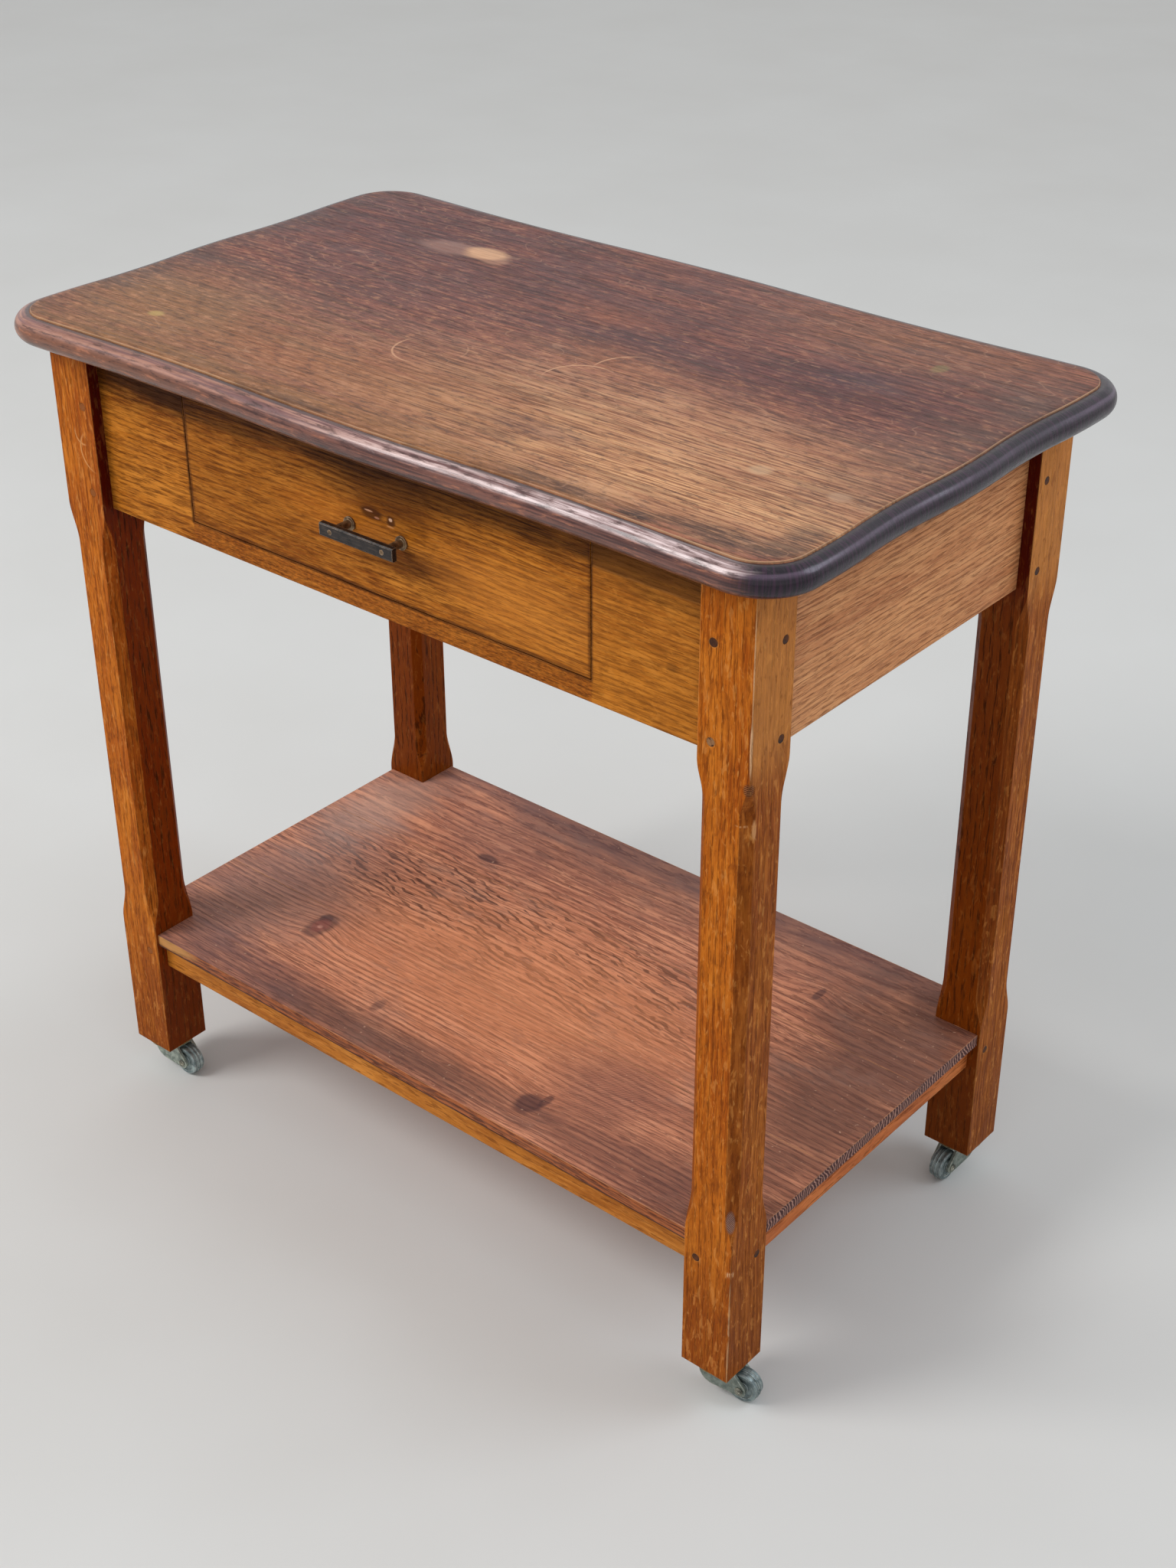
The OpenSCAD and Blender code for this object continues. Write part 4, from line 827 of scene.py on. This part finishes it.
def shelf_wood():
    knots = [((a, b, SHELF_Z), (reach_a, reach_b, 0.05), push) for a, b, reach_a, reach_b, push in SHELF_SWINGS]
    w = Oak("shelf_wood", "X", 21.4, pith=(0.26, -0.10), ring=0.0058, sway=0.006, knots=knots)
    g, p = w.g, w.p
    x, y, z = g.split(p)

    def place(centre, radii, deep, edge, ragged=None):
        return g.spot(p, (*centre, SHELF_Z), (*radii, deep), edge, ragged)

    colour = w.body(
        (242, 168, 128), (218, 140, 104), (192, 118, 88), (116, 62, 48), mottle=0.5, streak=0.25, line=0.5,
        pore_amount=0.54, pore_share=0.65, fleck_share=0.3,
    )
    # Fine lines that fade in and out, and short wavy cracks along the middle
    phase = g.add(g.times(w.radius, 2 * math.pi / LINE_PITCH), g.times(w.long, 9))
    comb = g.times(g.steps(g.math("SINE", phase), 0.0, 0.9), g.steps(w.line, 0.40, 0.56))
    colour = g.paint(colour, (112, 54, 42), comb, 0.65)
    middle = place((-0.03, 0.015), (0.32, 0.068), 0.05, 0.5, g.off(w.blotch))
    waver = w.noise((34, 60, 60))
    run = g.add(y, g.times(x, 0.16), g.times(waver, 0.017))
    torn = w.noise((34, 120, 60), (0.5, 0.1, 0.2), 1.5)
    cracks = g.steps(g.math("SINE", g.times(run, 2 * math.pi / CRACK_PITCH)), 0.15, 0.75)
    cracks = g.times(cracks, middle, g.steps(torn, 0.44, 0.52))
    colour = g.paint(colour, (62, 20, 16), cracks, 0.95)
    blur = g.times(g.add(g.off(w.blotch), g.off(w.long, 0.5)), 1.6)
    sawn = g.math("SINE", g.add(g.times(g.add(y, g.times(x, -0.5)), SAW), g.times(w.blotch, 9)))
    hatched = g.mix(g.steps(sawn, -0.4, 0.7), (92, 54, 52), (166, 108, 92))
    # Worn, faded and soiled places, with a painted pool of light on the middle and painted shade with dirt along the
    # back, then the knots and their hearts
    for centre, radii, share, tone in (
        ((0.02, -0.05), (0.22, 0.10), 0.50, (236, 150, 98)),
        ((-0.33, 0.10), (0.04, 0.09), 0.55, (192, 158, 142)),
        ((-0.31, -0.09), (0.08, 0.13), 0.55, (138, 112, 106)),
        ((-0.20, 0.13), (0.10, 0.04), 0.35, (124, 84, 78)),
        ((0.00, 0.205), (0.38, 0.030), 0.75, (92, 68, 70)),
        ((0.10, 0.16), (0.24, 0.040), 0.35, (134, 96, 82)),
        ((0.33, 0.05), (0.08, 0.22), 0.80, (102, 66, 54)),
        ((0.17, -0.11), (0.065, 0.045), 0.60, hatched),
        ((-0.05, -0.192), (0.15, 0.022), 0.70, (92, 64, 58)),
        ((0.26, -0.18), (0.12, 0.035), 0.55, (104, 66, 60)),
        ((-0.25, -0.19), (0.08, 0.030), 0.50, (104, 74, 76)),
    ):
        colour = g.paint(colour, tone, place(centre, radii, 0.05, 0.75, blur), share)
    fray = g.times(blur, 0.5)
    for centre, radii, share in (
        ((-0.217, -0.099), (0.012, 0.020), 0.60),
        ((-0.222, -0.086), (0.006, 0.007), 0.60),
        ((-0.172, 0.098), (0.013, 0.006), 0.75),
        ((-0.132, 0.140), (0.013, 0.004), 0.45),
        ((0.226, 0.125), (0.004, 0.010), 0.60),
        ((-0.082, -0.155), (0.006, 0.011), 0.50),
        ((0.122, -0.172), (0.011, 0.013), 0.70),
        ((0.132, -0.160), (0.004, 0.009), 0.60),
    ):
        colour = g.paint(colour, (68, 38, 42), place(centre, radii, 0.02, 0.3, fray), share)
    colour = g.paint(colour, (150, 82, 70), place((-0.218, -0.098), (0.008, 0.011), 0.02, 0.3, fray), 0.7)
    colour = g.paint(colour, (206, 144, 124), place((-0.217, -0.099), (0.0028, 0.0024), 0.02, 0.5), 0.8)
    dust = w.noise((12, 20, 20), (1.1, 0.2, 0.9), 4, roughness=0.7)
    speck = g.noise(w.q, scale=240, detail=1)
    colour = g.layers(colour, ((150, 112, 98), 0.30, dust, 0.50, 0.70), ((214, 170, 140), 0.5, speck, 0.72, 0.78))
    # Edges of the boards: golden along the front, dark end grain with pale ridges at the ends
    front = g.steps(g.times(g.facing("Y"), -1.0), 0.6, 0.9)
    back = g.steps(g.facing("Y"), 0.6, 0.9)
    split = g.spot(p, (0.0, SHELF_EDGE, 0.1742), (0.36, 0.01, 0.0012), 0.5, g.times(blur, 0.25))
    pale_patch = g.spot(p, (-0.315, SHELF_EDGE, 0.176), (0.034, 0.01, 0.006), 0.5, fray)
    golden = g.mix(g.steps(w.dash, 0.46, 0.60), (166, 88, 38), (92, 40, 14))
    golden = g.paint(golden, (72, 32, 12), split, 0.7)
    golden = g.paint(golden, (206, 148, 74), pale_patch, 0.8)
    # A painted shadow, with grime, along the foot of the board's edge where it meets the rail
    golden = g.mix(g.steps(z, 0.1704, 0.1694, 0, 0.92), golden, (40, 14, 4))
    colour = g.paint(colour, golden, g.most(front, back), 0.85)
    end = g.steps(g.math("ABSOLUTE", g.facing("X")), 0.6, 0.9)
    drift = g.times(w.noise((10, 30, 60)), 0.02)
    ridges = g.steps(g.math("SINE", g.times(g.add(y, drift), END_SAW)), -0.1, 0.9)
    colour = g.mix(end, colour, g.mix(ridges, (74, 38, 36), (176, 130, 114)))
    crack = g.spot(p, (-0.337, SHELF_EDGE, 0.1745), (0.0007, 0.01, 0.006), 0.3)
    colour = g.paint(colour, (46, 24, 12), front, crack)
    edge, rounded = g.arris(0.0018)
    worn = (g.steps(edge, 0.02, 0.15), g.steps(w.blotch, 0.34, 0.55), g.steps(z, 0.172, 0.174), 0.8)
    colour = g.paint(colour, (216, 150, 104), *worn)
    height = g.add(w.relief(1.0, 0.3), g.math("SUBTRACT", g.times(ridges, end), g.times(cracks, 1.5)))
    return g.finish(colour, w.shine(0.46, 0.66), height, 0.0004, rounded, Specular_IOR_Level=0.25)


def inner_wood():
    """Bare dry oak of the drawer box, its carriers and the buttons"""
    w = Oak("inner_wood", "Y", 31.0, pith=(0.05, 0.40), ring=0.0040, sway=0.006)
    colour = w.body((206, 172, 126), (184, 146, 100), (154, 116, 76), (112, 78, 48), fleck_share=0.4)
    return worn_wood(w, colour, (214, 184, 140), 0.0015, 0.5, (0.6, 0.78), 0.5)


def peg_wood():
    g = Graph("peg_wood")
    p = g.place()
    left = g.steps(g.split(p)["X"], -0.2, -0.3)
    chipped = g.spot(p, (0.341, -LEG_Y, 0.6495), (0.008, 0.02, 0.008))
    cells = g.noise(p, scale=1500, detail=2)
    tone = g.noise(p, scale=160, detail=3)
    colour = g.mix(g.steps(tone, 0.35, 0.65), (48, 22, 10), (94, 50, 22))
    colour = g.paint(colour, (160, 88, 26), left, 0.75)
    colour = g.paint(colour, (170, 124, 84), chipped, g.steps(tone, 0.46, 0.54), 0.7)
    colour = g.paint(colour, (34, 14, 6), g.steps(cells, 0.55, 0.65), 0.5)
    return g.finish(colour, g.steps(tone, 0.3, 0.7, 0.45, 0.7), cells, 0.0003, Specular_IOR_Level=0.2)


use(leg_wood(), *("leg_" + c for c in CORNERS))
use(front_wood(), "apron_front")
use(side_wood("back_wood", 15.2, "X", GOLDEN, (0.10, 0.66)), "apron_back")
use(side_wood("end_wood", 17.6, "Y", TAWNY, (0.30, 0.50)), "apron_left", "apron_right")
use(drawer_wood(), "drawer_front")
use(rail_wood("long_rail_wood", 23.8, "X", AMBER), "rail_front", "rail_back")
use(rail_wood("short_rail_wood", 27.3, "Y", RUSSET), "rail_left", "rail_right")
use(shelf_wood(), "shelf_front", "shelf_middle", "shelf_back")
use(peg_wood(), "leg_pegs")
use(
    inner_wood(),
    "top_buttons", "drawer_stops", "drawer_back", "drawer_bottom",
    *(part + "_" + side for part in ("runner", "guide", "kicker", "drawer_side") for side in ("left", "right")),
)

# ---------------------------------------------------------------- metal


def metal(
    name, base, dark, bright, rough, metallic,
    radius=0.0012, pits=0.5, grain=(260, 260, 260), edge_share=0.8, right=0.0, scratched=0.25,
):
    """Old metal: mottled tarnish, pits, and bright wear along the arrises; painted shade makes it darker at the right
    by a share
    """
    g = Graph(name)
    p = g.place()
    tarnish = g.noise(p, scale=170, detail=4, roughness=0.65)
    pitting = g.noise(p, scale=900, detail=2, roughness=0.6)
    brushed = g.noise(g.moved(p, scale=grain), detail=2)
    colour = g.layers(
        g.mix(g.steps(tarnish, 0.36, 0.66), dark, base),
        (bright, scratched, brushed, 0.5, 0.7),
        (dark, pits, pitting, 0.60, 0.72),
    )
    # Painted shade on the pieces at the right
    if right:
        colour = g.layers(colour, (g.mix(0.5, dark, (20, 22, 20)), right, g.split(p)["X"], -0.1, 0.1))
    edge, rounded = g.arris(radius)
    colour = g.paint(colour, bright, g.steps(edge, 0.02, 0.14), g.steps(tarnish, 0.3, 0.5), edge_share)
    height = g.add(g.times(pitting, -0.6), g.times(tarnish, 0.5))
    return g.finish(
        colour, g.steps(tarnish, 0.3, 0.7, rough[1], rough[0]), height, 0.0002, rounded, Metallic=metallic
    )


# Name, base, dark and bright tone, least and most roughness, metallic share, further settings and the pieces
for name, base, dark, bright, rough, metallic, settings, pieces in (
    ("cast_metal", (178, 188, 176), (124, 134, 126), (214, 214, 196), (0.42, 0.62), 0.6,
        {"right": 0.5}, "horn_"),
    ("tread_metal", (172, 188, 188), (112, 126, 128), (220, 228, 222), (0.36, 0.55), 0.6,
        {"edge_share": 0.9, "right": 0.5}, "wheel_"),
    ("axle_metal", (160, 158, 144), (70, 72, 66), (206, 202, 182), (0.3, 0.5), 0.9,
        {"radius": 0.0008}, "axle_"),
    ("plate_brass", (150, 136, 98), (88, 82, 62), (206, 190, 142), (0.4, 0.6), 0.8,
        {}, "plate_"),
    ("screw_steel", (140, 134, 124), (74, 66, 58), (190, 184, 172), (0.35, 0.6), 0.9,
        {}, ("button_screws", "shelf_screws", "plate_screws", "king_pins")),
    ("pull_bronze", (46, 38, 36), (26, 22, 22), (196, 166, 138), (0.34, 0.5), 0.4,
        {"radius": 0.0008, "pits": 0.3, "grain": (60, 900, 900), "edge_share": 0.9, "scratched": 0.06}, ("pull_bar",)),
    ("post_brass", (136, 112, 82), (84, 62, 42), (196, 160, 126), (0.38, 0.55), 0.6,
        {"radius": 0.0009, "pits": 0.3}, ("pull_posts", "pull_nuts")),
):
    if isinstance(pieces, str):
        pieces = [pieces + corner for corner in CORNERS]
    use(metal(name, base, dark, bright, rough, metallic, **settings), *pieces)

# ---------------------------------------------------------------- floor, light and background

FLOOR_REACH = 40.0
WORLD_LIGHT = 0.62


def floor_material():
    g = Graph("pale_floor")
    tone = g.noise(g.place(), scale=3.0, detail=3)
    return g.finish(g.mix(tone, (214, 212, 208), (222, 221, 218)), 0.85)


def make_floor():
    mesh = bpy.data.meshes.new("floor")
    corners = [(a * FLOOR_REACH, b * FLOOR_REACH, 0) for a, b in ((-1, -1), (1, -1), (1, 1), (-1, 1))]
    mesh.from_pydata(corners, [], [(0, 1, 2, 3)])
    floor = bpy.data.objects.new("floor", mesh)
    scene.collection.objects.link(floor)
    mesh.materials.append(floor_material())


def make_world():
    """Soft light all round, and an even pale background wherever the camera, a mirror or clear glass sees it"""
    world = bpy.data.worlds.new("studio")
    world.use_nodes = True
    scene.world = world
    tree = world.node_tree
    tree.nodes.clear()
    soft = tree.nodes.new("ShaderNodeBackground")
    soft.inputs["Color"].default_value = (0.96, 0.98, 1.0, 1)
    soft.inputs["Strength"].default_value = WORLD_LIGHT
    seen = tree.nodes.new("ShaderNodeBackground")
    seen.inputs["Color"].default_value = srgb(226, 227, 229)
    seen.inputs["Strength"].default_value = 1.0
    path = tree.nodes.new("ShaderNodeLightPath")
    looks = path.outputs["Is Camera Ray"]
    for ray in ("Is Glossy Ray", "Is Transmission Ray"):
        either = tree.nodes.new("ShaderNodeMath")
        either.operation = "MAXIMUM"
        tree.links.new(looks, either.inputs[0])
        tree.links.new(path.outputs[ray], either.inputs[1])
        looks = either.outputs[0]
    mix = tree.nodes.new("ShaderNodeMixShader")
    out = tree.nodes.new("ShaderNodeOutputWorld")
    tree.links.new(looks, mix.inputs[0])
    tree.links.new(soft.outputs[0], mix.inputs[1])
    tree.links.new(seen.outputs[0], mix.inputs[2])
    tree.links.new(mix.outputs[0], out.inputs["Surface"])


def make_lamp(name, place, target, size, watts, colour):
    data = bpy.data.lights.new(name, "AREA")
    data.shape = "DISK"
    data.size = size
    data.energy = watts
    data.color = colour
    lamp = bpy.data.objects.new(name, data)
    lamp.location = place
    lamp.rotation_euler = (Vector(target) - Vector(place)).to_track_quat("-Z", "Y").to_euler()
    scene.collection.objects.link(lamp)


make_floor()
make_world()
make_lamp("key", (-2.2, -2.9, 3.6), (0, 0, 0.4), 2.0, 107, (1, 1, 1))
make_lamp("sky", (2.3, 1.7, 2.7), (0, 0, 0.5), 1.8, 30, (0.80, 0.90, 1.0))

# ---------------------------------------------------------------- end

bpy.context.view_layer.update()
